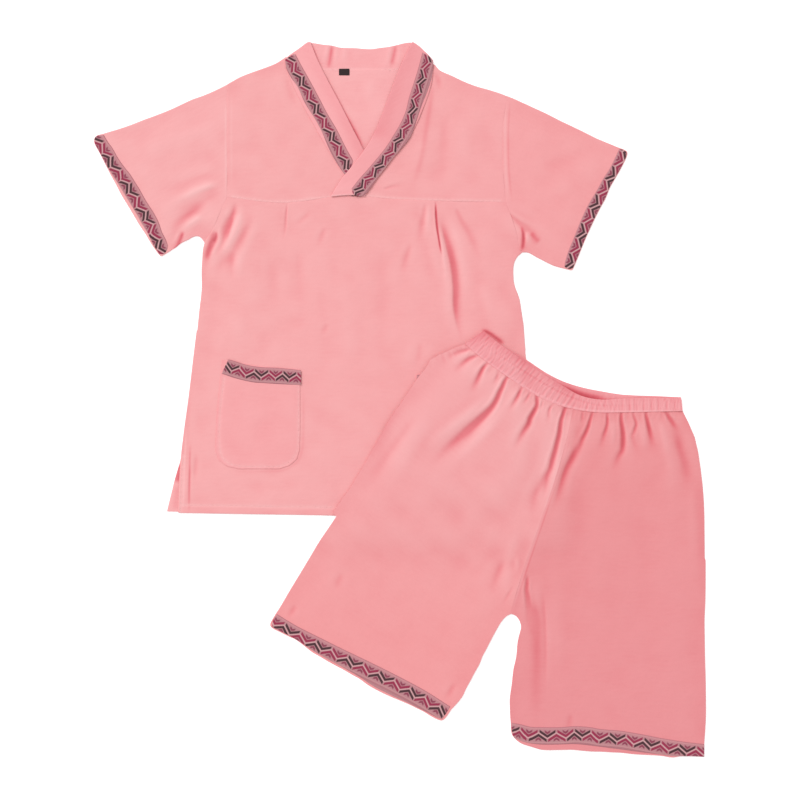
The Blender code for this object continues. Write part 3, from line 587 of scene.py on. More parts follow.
def cutRing(upper, recipe, spacing):
    # The piece's outline: its solid's, or its own paths in the photo, let out a little
    if "outline" in recipe:
        ring = ringOf(recipe["outline"], spacing)
    else:
        ring = smoothRing(outlineOf(upper), make["cornerAngle"], spacing)
    for path in recipe["reshape"]:
        ring = reshaped(ring, path, spacing)
    return drawnIn(ring, -recipe["meet"])


def layForm(piece, upper):
    # The form of the solid's upper side, softened, and how far in from the edge each place lies
    recipe, field = piece["recipe"], piece["field"]
    above, beside, down = 0.1, 0.003, Vector((0, 0, -1))       # metres, over the solid and level with it
    tree = BVHTree.FromBMesh(upper)
    base = np.zeros(len(field.points))
    inside = field.mask.ravel()
    for i in np.flatnonzero(inside):
        x, y = field.points[i] * mm
        hit = tree.ray_cast(Vector((x, y, above)), down)[0]
        if hit is None:
            hit = tree.find_nearest(Vector((x, y, beside)))[0]
        base[i] = hit.z / mm
    form = field.soften(base.reshape(field.shape), recipe["soften"])
    random = np.random.default_rng(len(pieces) + make["seed"])
    if recipe["drift"]:
        waves = blurred(random.standard_normal(field.shape), make["driftReach"] / field.step)
        form += waves / max(waves.std(), 1e-9) * recipe["drift"]

    inFrom = np.full(len(field.points), far)
    weight = blurred(field.mask.astype(float), make["edgeReach"] / field.step)
    band = inside & (weight.ravel() < 0.985)
    inFrom[band] = nearestOn(field.points[band], piece["closed"])[0]
    inFrom = inFrom.reshape(field.shape)
    piece.update(form=form, inFrom=inFrom, settled=ease(inFrom / recipe["settle"]))


def planPoints(piece, finest, fine, coarse, railSpacing):
    # The outline, rails beside it and along the seams, and a lattice that is closest in the creases
    ring, closed, seams, creases = (piece[key] for key in ("ring", "closed", "seams", "creases"))
    low, high = ring.min(axis=0), ring.max(axis=0)
    beside = sewing["rails"]
    rails = [drawnIn(ring, 0.8)]
    for line, _, _ in seams:
        rails += [movedLeft(evenly(line, railSpacing), offset) for offset in (-beside, 0.0, beside)]
    rails = np.concatenate(rails)
    rails = rails[insideOf(rails, ring)]
    rails = rails[nearestOn(rails, closed)[0] > 0.5]

    grids = [lattice(low, high, spacing) for spacing in (finest, fine, coarse)]
    narrow = [creaseZone(grid, creases, make["sharpWidth"]) for grid in grids]
    wide = [creaseZone(grid, creases, make["softWidth"]) for grid in grids]
    spots = []
    if finest < fine:
        spots.append(grids[0][narrow[0]])
    fineZone = wide[1] & ~narrow[1] if finest < fine else wide[1]
    spots.append(grids[1][fineZone] if fine < coarse else grids[1])
    if fine < coarse:
        spots.append(grids[2][~wide[2]])
    spots = np.concatenate(spots)
    spots = spots[insideOf(spots, ring)]
    spots = spots[nearestOn(spots, closed)[0] > 0.62 * fine]
    for line, _, _ in seams:
        near = boxed(spots, line, 3.0)
        if near.any():
            close = np.zeros(len(spots), bool)
            close[near] = nearestOn(spots[near], line)[0] < beside + 0.5 * fine
            spots = spots[~close]
    return np.concatenate([ring, rails, spots])


def topHeights(piece, plan):
    # The upper side at the mesh's points, with its sewing and the fall at its rim
    recipe = piece["recipe"]
    fromRim = nearestOn(plan, piece["closed"])[0]
    direct, soft = surfaceOf(piece, plan), piece["field"].at(plan)
    crisp = make["crisp"]
    top = np.where(fromRim < make["rimQuiet"], soft, crisp * direct + (1.0 - crisp) * soft)
    top += sewnHeights(plan, piece["seams"])
    top -= recipe["rimDrop"] * (1.0 - ease(fromRim / make["rimRound"])) ** 2
    return np.maximum(top, recipe["thickness"] + make["clearance"])


def shellOf(plan, faces, top, thickness):
    # Points and faces of the upper side, the underside, and the rim with its own middle
    count, border = len(plan), rimLoop(faces)
    size = len(border)
    upper = np.column_stack([plan, top])
    lower = np.column_stack([plan, top - thickness])
    middle = np.column_stack([drawnIn(plan[border], -make["rimOut"]), top[border] - thickness / 2])
    allFaces = list(faces) + [tuple(count + v for v in reversed(face)) for face in faces]
    for k in range(size):
        a, b = border[k], border[(k + 1) % size]
        m, n = 2 * count + k, 2 * count + (k + 1) % size
        allFaces += [(b, a, m, n), (n, m, count + a, count + b)]
    return np.concatenate([upper, lower, middle]) * mm, allFaces, border


def hollowTones(piece, plan, hollows):
    # Painted shade and highlight for the colour: how deep each point lies against the cloth round it, so that
    # hollows are painted darker and ridges paler, with the painted strokes and a painted highlight along each sewn
    # line
    tone = creaseHeights(plan, piece["creases"], "tone")
    for line, _, _ in piece["seams"]:      # a sewn line catches the light
        near = boxed(plan, line, 8.0)
        gap = nearestOn(plan[near], line)[0]
        tone[near] -= sewing["paler"] * np.exp(-(gap / sewing["paleReach"]) ** 2)
    return piece["field"].at(plan, hollows) * piece["recipe"]["contrast"] + tone


def weaveMap(piece, flat):
    # The piece's own map in millimetres: along its edge and in from it, or along its grain
    recipe, ring = piece["recipe"], piece["ring"]
    if "edge" in recipe:
        along, away = alongEdge(flat, ring, *recipe["edge"])
        scaleAlong, scaleAcross, inset = recipe["scale"]
        start = alongEdge(fromPhoto(recipe["peak"]), ring, *recipe["edge"])[0][0]
        return np.column_stack([(along - start) / scaleAlong, (away - inset) / scaleAcross])
    turn = math.radians(recipe["grain"])
    return flat @ np.array([[math.cos(turn), -math.sin(turn)], [math.sin(turn), math.cos(turn)]])


def clothPiece(name, node, recipe, creases=(), rests=()):
    # A thin shell of cloth on its solid's form, with its creases and its sewing
    recipe = {**cloth, **recipe}
    quickly = 1.0
    fine = recipe["fine"] * quickly
    coarse = max(recipe["coarse"] * quickly, fine)
    finest = min(recipe["finest"] * quickly, fine)
    upper = upperSide(node)
    ring = cutRing(upper, recipe, fine)
    field = Field(ring, recipe["step"] * quickly)
    piece = {
        "recipe": recipe, "creases": creases, "rests": rests, "field": field, "ring": ring,
        "closed": np.concatenate([ring, ring[:1]]), "seams": sewnLines(ring, recipe["seams"]),
    }
    layForm(piece, upper)
    upper.free()
    heights = field.soften(surfaceOf(piece, field.points).reshape(field.shape), recipe["finish"])
    # Painted shade: how far each place lies below the cloth round it, which darkens the colour in creases and
    # lightens it on ridges
    hollows = field.soften(heights, make["hollowReach"]) - heights
    field.values = heights

    points = planPoints(piece, finest, fine, coarse, sewing["railSpacing"] * quickly)
    loop = [(i, (i + 1) % len(ring)) for i in range(len(ring))]
    net = delaunay_2d_cdt([Vector(p) for p in points], loop, [], 1, 1e-4)
    plan = np.array([tuple(v) for v in net[0]])
    top = topHeights(piece, plan)
    shell, faces, border = shellOf(plan, [tuple(face) for face in net[2]], top, recipe["thickness"])
    data = bpy.data.meshes.new(name)
    data.from_pydata([tuple(p) for p in shell], [], faces)
    data.validate()

    # Painted shade and highlight for each point, kept on the mesh for its colour
    depth = hollowTones(piece, plan, hollows)
    depth = np.concatenate([depth, depth, depth[border]])
    attribute = data.attributes.new("hollow", "FLOAT", "POINT")
    attribute.data.foreach_set("value", depth.astype(np.float32))
    flat = weaveMap(piece, shell[:, :2] / mm)
    layer = data.uv_layers.new(name="weave")
    corner = np.zeros(len(data.loops), int)
    data.loops.foreach_get("vertex_index", corner)
    layer.data.foreach_set("uv", (flat[corner] * 0.01).astype(np.float32).ravel())

    made = bpy.data.objects.new(name, data)
    bpy.context.scene.collection.objects.link(made)
    data.materials.append(recipe["material"])
    chooseOnly(made)
    bpy.ops.object.shade_smooth_by_angle(angle=math.radians(60))
    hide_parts(node)
    together = []
    if piece["seams"]:
        together.append(rowOfStitches(name + "Stitches", piece["seams"], field.at, recipe["thread"]))
    for item in [made] + together:
        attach(item, "root")
    wide, long, area = cutOf(ring)
    wide, long = max(wide, make["smallest"]), max(long, make["smallest"])
    wide * mm
    long * mm
    min(area, wide * long) * mm * mm
    pieces[name] = piece
    print("made", name, len(faces), "faces")


def rimLoop(faces):
    directed = {pair for face in faces for pair in zip(face, face[1:] + face[:1])}
    onward = {a: b for a, b in directed if (b, a) not in directed}
    start = min(onward)
    ring, vertex = [start], onward[start]
    while vertex != start:
        ring.append(vertex)
        vertex = onward[vertex]
    return ring


def cutOf(ring):
    # The smallest of the boxes round the cut, turned a few degrees at a time
    around = np.roll(ring, -1, axis=0)
    area = abs((ring[:, 0] * around[:, 1] - ring[:, 1] * around[:, 0]).sum()) / 2
    best = None
    for degrees in range(0, 90, 5):
        turn = math.radians(degrees)
        x = ring[:, 0] * math.cos(turn) + ring[:, 1] * math.sin(turn)
        y = ring[:, 1] * math.cos(turn) - ring[:, 0] * math.sin(turn)
        wide, long = np.ptp(x), np.ptp(y)
        if best is None or wide * long < best[0] * best[1]:
            best = (wide, long)
    return best[0], best[1], area


brightest = 0.97               # of a colour's channels

# Shader maths as Python expressions

class Value:
    def __init__(self, tree, socket):
        self.tree, self.socket = tree, socket

    def math(self, operation, other=None, swap=False):
        node = self.tree.nodes.new("ShaderNodeMath")
        node.operation = operation
        inputs = [self] if other is None else ([other, self] if swap else [self, other])
        for slot, item in zip(node.inputs, inputs):
            if isinstance(item, Value):
                self.tree.links.new(item.socket, slot)
            else:
                slot.default_value = item
        return Value(self.tree, node.outputs[0])

    def __add__(self, other): return self.math("ADD", other)
    def __radd__(self, other): return self.math("ADD", other, True)
    def __sub__(self, other): return self.math("SUBTRACT", other)
    def __rsub__(self, other): return self.math("SUBTRACT", other, True)
    def __mul__(self, other): return self.math("MULTIPLY", other)
    def __rmul__(self, other): return self.math("MULTIPLY", other, True)
    def __truediv__(self, other): return self.math("DIVIDE", other)
    def __mod__(self, other): return self.math("FLOORED_MODULO", other)
    def floor(self): return self.math("FLOOR")
    def size(self): return self.math("ABSOLUTE")
    def wave(self, period): return (self * (2 * math.pi / period)).math("SINE")
    def atLeast(self, other): return self.math("MAXIMUM", other)
    def atMost(self, other): return self.math("MINIMUM", other)


class Finish:
    def __init__(self, name, roughness, sheen=0.0, sheenTint=(1, 1, 1, 1)):
        self.material = bpy.data.materials.new(name)
        self.material.use_nodes = True
        self.tree = self.material.node_tree
        self.shader = self.tree.nodes["Principled BSDF"]
        self.shader.inputs["Roughness"].default_value = roughness
        self.shader.inputs["Specular IOR Level"].default_value = 0.2
        self.shader.inputs["Sheen Weight"].default_value = sheen
        self.shader.inputs["Sheen Roughness"].default_value = 0.5
        self.shader.inputs["Sheen Tint"].default_value = sheenTint

    def node(self, kind, settings=None, **sockets):
        made = self.tree.nodes.new(kind)
        for key, value in (settings or {}).items():
            if key == "stops":
                ramp = made.color_ramp
                while len(ramp.elements) < len(value):
                    ramp.elements.new(0.5)
                for element, (place, colour) in zip(ramp.elements, value):
                    element.position, element.color = place, colour
            else:
                setattr(made, key, value)
        for key, value in sockets.items():
            numbered = key[0] == "n" and key[1:].isdigit()
            slot = made.inputs[int(key[1:]) if numbered else key]
            if isinstance(value, Value):
                self.tree.links.new(value.socket, slot)
            elif hasattr(value, "links"):
                self.tree.links.new(value, slot)
            else:
                slot.default_value = value
        return made

    def uv(self):
        # The piece's own map, in millimetres: along and across
        place = self.node("ShaderNodeUVMap", {"uv_map": "weave"})
        parts = self.node("ShaderNodeSeparateXYZ", Vector=place.outputs[0])
        along, across = (Value(self.tree, parts.outputs[k]) * 100.0 for k in (0, 1))
        return along, across, place.outputs[0]

    def share(self, start, end):
        # 0 to 1 between two places in the photo, on the piece's own coordinates
        (x0, y0), (x1, y1) = fromPhoto([start, end]) * mm
        parts = self.node("ShaderNodeSeparateXYZ", Vector=self.node("ShaderNodeTexCoord").outputs["Object"])
        x, y = Value(self.tree, parts.outputs[0]), Value(self.tree, parts.outputs[1])
        square = (x1 - x0) ** 2 + (y1 - y0) ** 2
        along = (x - float(x0)) * float((x1 - x0) / square) + (y - float(y0)) * float((y1 - y0) / square)
        return along.atLeast(0.0).atMost(1.0)

    def noise(self, vector, scale, detail=2.0, roughness=0.5):
        made = self.node("ShaderNodeTexNoise", {"noise_dimensions": "2D"}, Vector=vector, Scale=scale,
                         Detail=detail, Roughness=roughness)
        return Value(self.tree, made.outputs["Fac"])

    def stretched(self, vector, along, across):
        return self.node("ShaderNodeMapping", None, Vector=vector, Scale=(along, across, 1.0)).outputs[0]

    def attribute(self, name):
        made = self.node("ShaderNodeAttribute", {"attribute_name": name})
        return Value(self.tree, made.outputs["Fac"])

    def mix(self, share, first, second, blend="MIX"):
        settings = {"data_type": "RGBA", "blend_type": blend}
        return self.node("ShaderNodeMix", settings, n0=share, n6=first, n7=second).outputs[2]

    def ramp(self, value, stops):
        return self.node("ShaderNodeValToRGB", {"stops": stops}, Fac=value).outputs[0]

    def step(self, value, low, high):
        settings = {"interpolation_type": "SMOOTHSTEP"}
        made = self.node("ShaderNodeMapRange", settings, n0=value, n1=low, n2=high)
        return Value(self.tree, made.outputs[0])

    def band(self, value, low, high, soft):
        return self.step(value, low - soft, low + soft) * (1 - self.step(value, high - soft, high + soft))

    def colour(self, socket):
        self.tree.links.new(socket, self.shader.inputs["Base Color"])

    def bump(self, height, distance, strength=1.0):
        made = self.node("ShaderNodeBump", None, Height=height, Distance=distance, Strength=strength)
        self.tree.links.new(made.outputs[0], self.shader.inputs["Normal"])


def paint(red, green, blue):
    # The cloth colour that comes out as these 0 to 255 values, flat in the studio's light
    def one(value):
        value /= 255.0
        value = value / 12.92 if value <= 0.04045 else ((value + 0.055) / 1.055) ** 2.4
        return min(value / fullLight, brightest)
    return (one(red), one(green), one(blue), 1.0)


cottonLook = {
    "threadPeriod": 0.9,       # mm
    "hollowGain": 0.34,        # how fast the painted shade deepens in a hollow, per mm
    "flatAt": 0.25,            # where flat cloth stands between the painted highlight on ridges and the painted shade in hollows
    "uneven": 0.05, "streak": 0.08, "slub": 0.05,      # how far each changes the colour
    "weave": 0.042, "crumple": 1.0,            # heights in the bump
    "slubHeight": 0.22, "streakHeight": 0.5,
    # The colours from a ridge's painted highlight through flat cloth to the painted shade deep in a hollow
    "hollows": [(0.0, (1.0, 1.0, 1.0, 1.0)), (0.25, (0.965, 0.84, 0.85, 1.0)),
                (0.62, (0.86, 0.46, 0.51, 1.0)), (1.0, (0.68, 0.23, 0.28, 1.0))],
}


# A ridge's colour, painted as a highlight, from the colour that flat cloth shows
def paintedHighlightOf(colour):
    flat = cottonLook["hollows"][1][1]
    return tuple(min(channel / part, brightest) for channel, part in zip(colour[:3], flat)) + (1.0,)


def cotton(name, first, second, start, end):
    # Cotton that goes from one colour to another between two places in the photo
    # The fade between the two colours is a painted light falloff; the ramp paints shade in hollows and a highlight
    # on ridges, to which random unevenness, streaks and slubs are added
    look = Finish(name, 0.9, sheen=0.08, sheenTint=(1.0, 0.85, 0.85, 1.0))
    along, across, place = look.uv()
    uneven = look.noise(place, 1.3, 2.0)
    streak = look.noise(look.stretched(place, 5.0, 26.0), 1.0, 3.0, 0.6)
    slub = look.noise(place, 60.0, 3.0, 0.7)
    hollow = look.attribute("hollow") * cottonLook["hollowGain"] + cottonLook["flatAt"]
    for pattern, amount in ((uneven, "uneven"), (streak, "streak"), (slub, "slub")):
        hollow = hollow + (pattern - 0.5) * cottonLook[amount]
    ground = look.mix(look.share(start, end), paintedHighlightOf(paint(*first)), paintedHighlightOf(paint(*second)))
    paintedShadeTint = look.ramp(hollow.atLeast(0.0).atMost(1.0), cottonLook["hollows"])
    look.colour(look.mix(1.0, ground, paintedShadeTint, "MULTIPLY"))
    period = cottonLook["threadPeriod"]
    weave = along.wave(period) * across.wave(period)
    crumple = look.noise(place, 7.0, 4.0, 0.5)
    look.bump(weave * cottonLook["weave"] + slub * cottonLook["slubHeight"]
              + crumple * cottonLook["crumple"] + streak * cottonLook["streakHeight"], 0.0006, 0.6)
    return look.material


ribbonLook = {
    "period": 26.3,            # mm from one peak of the zigzag to the next
    "width": 25.0,
    "middle": 12.6,            # mm from the inner edge to the middle of the zigzag
    "swing": 4.4,              # and from there to a peak
    "line": 1.0,               # half the pale line, measured across the ribbon
    "stroke": (1.35, 5.6),     # how far from the line the dark strokes lie
    "patch": (6.7, 10.2),
    "peakReach": 0.93, "valleyReach": 0.1,
    "ground": ((190, 128, 138), (206, 146, 151)),
    "mossy": (186, 146, 142), "rosy": (216, 136, 146),
    "charcoal": (60, 30, 38), "magenta": (158, 34, 74),
    "pale": (220, 170, 172), "patchTone": (144, 56, 82),
    "edgeLine": (178, 106, 116), "edgeBand": (214, 154, 156),
}


def wovenRibbon():
    look = Finish("woven ribbon", 0.6, sheen=0.08)
    along, across, place = look.uv()
    shape = ribbonLook
    turn = along / shape["period"]
    reach = ((turn + 0.5) % 1.0 - 0.5).size() * 2.0          # 0 on a peak, 1 in a valley
    away = across - (shape["middle"] - shape["swing"]) - reach * (2 * shape["swing"])
    pale = 1 - look.step(away.size(), shape["line"] - 0.4, shape["line"] + 0.5)
    thread = look.noise(place, 90.0, 2.0, 0.6)
    broken = look.noise(place, 34.0, 3.0, 0.6)
    low, high = shape["stroke"]
    peak, valley = shape["peakReach"], shape["valleyReach"]
    under = look.band(away, low, high, 0.5) * (1 - look.step(reach, peak - 0.07, peak + 0.05))
    over = look.band(away * -1.0, low, high, 0.5) * look.step(reach, valley - 0.05, valley + 0.07)
    low, high = shape["patch"]
    patchUnder = look.band(away, low, high, 0.5) * (1 - look.step(reach, 0.22, 0.4))
    patchOver = look.band(away * -1.0, low, high, 0.5) * look.step(reach, 0.6, 0.78)
    underDark = (turn + 0.5).floor() % 2.0
    overDark = turn.floor() % 2.0
    fromEdge = across.atMost(shape["width"] - across)

    ground = look.mix(thread, paint(*shape["ground"][0]), paint(*shape["ground"][1]))
    ground = look.mix(look.step(broken, 0.5, 0.66) * 0.5, ground, paint(*shape["mossy"]))
    ground = look.mix((1 - look.step(across, 1.5, 5.5)) * 0.65, ground, paint(*shape["rosy"]))
    colour = look.mix(look.band(fromEdge, -2.0, 0.9, 0.4) * 0.5, ground, paint(*shape["edgeLine"]))
    colour = look.mix(look.band(fromEdge, 1.2, 2.8, 0.5) * 0.6, colour, paint(*shape["edgeBand"]))
    magenta, charcoal = paint(*shape["magenta"]), paint(*shape["charcoal"])
    colour = look.mix((patchUnder + patchOver) * 0.9, colour, paint(*shape["patchTone"]))
    worn = 0.86 + thread * 0.14
    colour = look.mix(under * worn, colour, look.mix(underDark, magenta, charcoal))
    colour = look.mix(over * worn, colour, look.mix(overDark, magenta, charcoal))
    colour = look.mix(pale * 0.92, colour, paint(*shape["pale"]))
    look.colour(colour)
    rib = along.wave(1.1) * 0.3 + across.wave(0.8) * 0.3
    look.bump(rib + (under + over + pale) * 0.8 + thread * 0.4, 0.0004, 0.6)
    return look.material


def plainTape(name, colour):
    look = Finish(name, 0.7)
    _, _, place = look.uv()
    thread = look.noise(place, 80.0, 2.0)
    look.colour(look.mix(thread, colour, tuple(min(c * 1.6 + 0.01, 1) for c in colour[:3]) + (1.0,)))
    look.bump(thread, 0.0004, 0.5)
    return look.material


def threadFinish(name, colour):
    look = Finish(name, 0.65, sheen=0.05)
    parts = look.node("ShaderNodeTexCoord").outputs["Object"]
    twist = look.noise(look.stretched(parts, 900.0, 900.0), 1.0, 1.0)
    look.colour(look.mix(twist, colour, tuple(min(c * 1.12, 0.97) for c in colour[:3]) + (1.0,)))
    return look.material


# Copies of one pink cotton, made lighter or darker piece by piece as painted light: the shorts and their waistband
# are darker copies, the right leg most, as painted shade; the back's inside is a lighter copy, painted light; and
# each fades from one colour to the other, a painted light falloff
topCotton = cotton("cotton of the top", (248, 173, 174), (246, 167, 169), (250, 300), (560, 330))
litBackCotton = cotton("cotton of the back", (251, 178, 179), (250, 176, 178), (340, 110), (400, 110))
sleeveCotton = cotton("cotton of the sleeves", (249, 176, 177), (245, 164, 166), (200, 200), (560, 200))
pocketCotton = cotton("cotton of the pockets", (248, 169, 171), (246, 166, 168), (250, 400), (460, 400))
collarCotton = cotton("cotton of the back neck", (251, 176, 178), (250, 173, 175), (320, 60), (400, 60))
bandCotton = cotton("doubled cotton of the neck band", (251, 173, 176), (243, 161, 165), (335, 100), (390, 100))
leftLegCotton = cotton("cotton of the left leg", (245, 168, 170), (244, 158, 160), (420, 430), (380, 640))
shadedRightLegCotton = cotton("cotton of the right leg", (238, 150, 153), (236, 148, 152), (600, 420), (620, 700))
waistCotton = cotton("gathered cotton of the waistband", (242, 156, 161), (243, 160, 164), (500, 350), (650, 400))
topThread = threadFinish("thread of the top", paint(253, 204, 202))
shortsThread = threadFinish("thread of the shorts", paint(248, 188, 188))
ribbon = wovenRibbon()
blackTape = plainTape("black tape", paint(40, 26, 28))
print("finishes are ready")


# The garment's outline in the photo, in pixels. These numbers weren't placed by hand: they are
# copied from a measuring script's list of where the edge crosses rows and columns of the photo.
# The same goes for the outer edges of the cuffs' and hems' ribbons below.
outlines = {
    "leftCuff": [(104, 134), (97, 136), (94.5, 139.5), (95.1, 144), (100.5, 154), (105.5, 164), (110.6, 174),
                 (116.2, 184), (121.3, 194), (127.3, 204), (133.4, 214), (139.2, 224), (145.9, 234),
                 (151.8, 244), (158.9, 254), (161.5, 256), (164, 254.6)],
    "leftSleeveTop": [(104, 134), (120, 129.2), (132, 125), (144, 120.3), (156, 115.9), (168, 111.2),
                      (180, 105.8), (192, 100.2), (204, 95.9), (216, 90.7), (227, 85.2)],
    "leftSleeveFoot": [(164, 254.6), (168, 252.3), (172, 249.6), (176, 247.1), (180, 243.7), (184, 241.4),
                       (188, 239.7), (192, 237.3), (196, 235.9), (200, 236.6), (203, 239.8), (205, 243)],
    "bodyLeft": [(205, 243), (204.1, 246), (203.5, 249), (203, 253), (202.6, 260), (202, 270), (202, 290),
                 (199.8, 310), (197.8, 330)],
    "leftShoulder": [(227.8, 84.6), (240, 77.8), (252, 73), (264, 68.7), (276, 63.9), (286, 57.5)],
    "leftBandTop": [(285.5, 59), (292, 54), (300, 48.5), (308, 42.7), (311.5, 43)],
    "collarTop": [(308, 44.5), (312, 43.4), (324, 45.1), (332, 45.9), (340, 47.9), (356, 48.5), (364, 49.2),
                  (372, 49.4), (380, 48.2), (388, 47.3), (396, 45.6), (404, 43.6), (410, 42.8), (413, 43.5)],
    "rightBandTop": [(412.5, 42.4), (416, 44.5), (420, 47.5), (424, 51.5), (428, 55.1), (433, 61)],
    "rightShoulder": [(436, 67), (440, 71), (452, 76.4), (464, 82.1), (476, 86.7), (488, 90.1), (500, 93.9),
                      (505, 95.8)],
    "rightSleeveTop": [(505, 95.8), (512, 98.5), (524, 103.9), (536, 109.4), (548, 115), (560, 121.2),
                       (572, 126.9), (584, 132.7), (596, 138.7), (608, 143.7), (618, 147.8)],
    "rightCuff": [(618, 147.8), (624, 150), (627, 152.5), (625.7, 158), (620.8, 168), (615.1, 178),
                  (609.4, 188), (605.4, 198), (599.9, 208), (594.8, 218), (590.1, 228), (585.5, 238),
                  (581.4, 248), (577.3, 258), (573, 268), (571.5, 270), (565, 268.6)],
    "rightSleeveFoot": [(522, 252.4), (525, 252), (527, 252.2), (530, 253.2), (536, 256.7), (542, 259.8),
                        (548, 262.9), (554, 265.6), (560, 267.3), (565, 268.6)],
    "bodyRight": [(522, 252.4), (518, 255.7), (516.2, 258), (513.8, 263), (512.9, 270), (513, 276),
                  (513.5, 282), (515, 288), (517.4, 294), (519.3, 300), (520.3, 306), (521.2, 312),
                  (522.1, 318), (523.1, 324), (523.7, 332), (525, 350)],
    "backNeck": [(294, 62.5), (308, 67), (321, 69.2), (340, 69.6), (368, 69.7), (395, 69.6), (408, 68.6),
                 (421, 66)],
    "leftLegOut": [(337, 516), (330, 526.4), (320, 541.1), (310, 557.8), (300, 574.4), (290, 590.9),
                   (280, 608), (276, 614)],
    "leftHem": [(276, 614), (270.6, 624), (272, 627.2), (280, 631.4), (288, 635.4), (296, 639.1), (304, 645),
                (312, 651.3), (320, 655.9), (328, 660.7), (336, 665.1), (344, 669.3), (352, 674),
                (360, 678.5), (368, 684.4), (376, 689), (384, 693), (392, 696.6), (400, 699.9), (408, 703.3),
                (416, 707.2), (424, 711.2), (432, 716.1), (438, 719), (442, 719.8), (446, 716.5), (451, 709)],
    "rightHem": [(511, 722), (512, 733.5), (516, 739), (522, 743.2), (532, 746.4), (542, 749.2), (562, 749.3),
                 (572, 749.2), (582, 750.1), (592, 750.9), (602, 751.1), (612, 751.7), (622, 752.2),
                 (632, 753.4), (642, 754.1), (652, 754.5), (662, 755.3), (672, 756.8), (682, 755.4),
                 (692, 755.2), (702.6, 755.4), (703.6, 744)],
    "rightLegOut": [(703.6, 744), (705.2, 720), (705.3, 700), (705.1, 680), (704.5, 660), (704.2, 640),
                    (704, 620), (704.8, 600), (705, 580), (705, 560)],
    "crotchLeft": [(451, 709), (455.8, 704), (462.1, 696), (465.9, 688), (470.3, 680), (474.5, 672),
                   (479, 664), (482.1, 656), (484.3, 652), (488.5, 644), (492.6, 636), (497, 628), (502, 620),
                   (507, 615.2), (511.3, 613.4)],
    "crotchRight": [(511.3, 613.4), (516, 615.4), (519.5, 620), (521.2, 625), (521.2, 629), (519.2, 636),
                    (517.7, 644), (517.1, 652), (515.9, 660), (514, 668), (512.9, 676), (512.1, 684),
                    (510.9, 692), (510, 700), (510.2, 708), (510.5, 716), (511, 722)],
    "overPocket": [(447, 352), (438, 356), (430, 361), (427, 367), (424, 371), (418, 378), (413, 386),
                   (406, 396), (399, 407)],
}

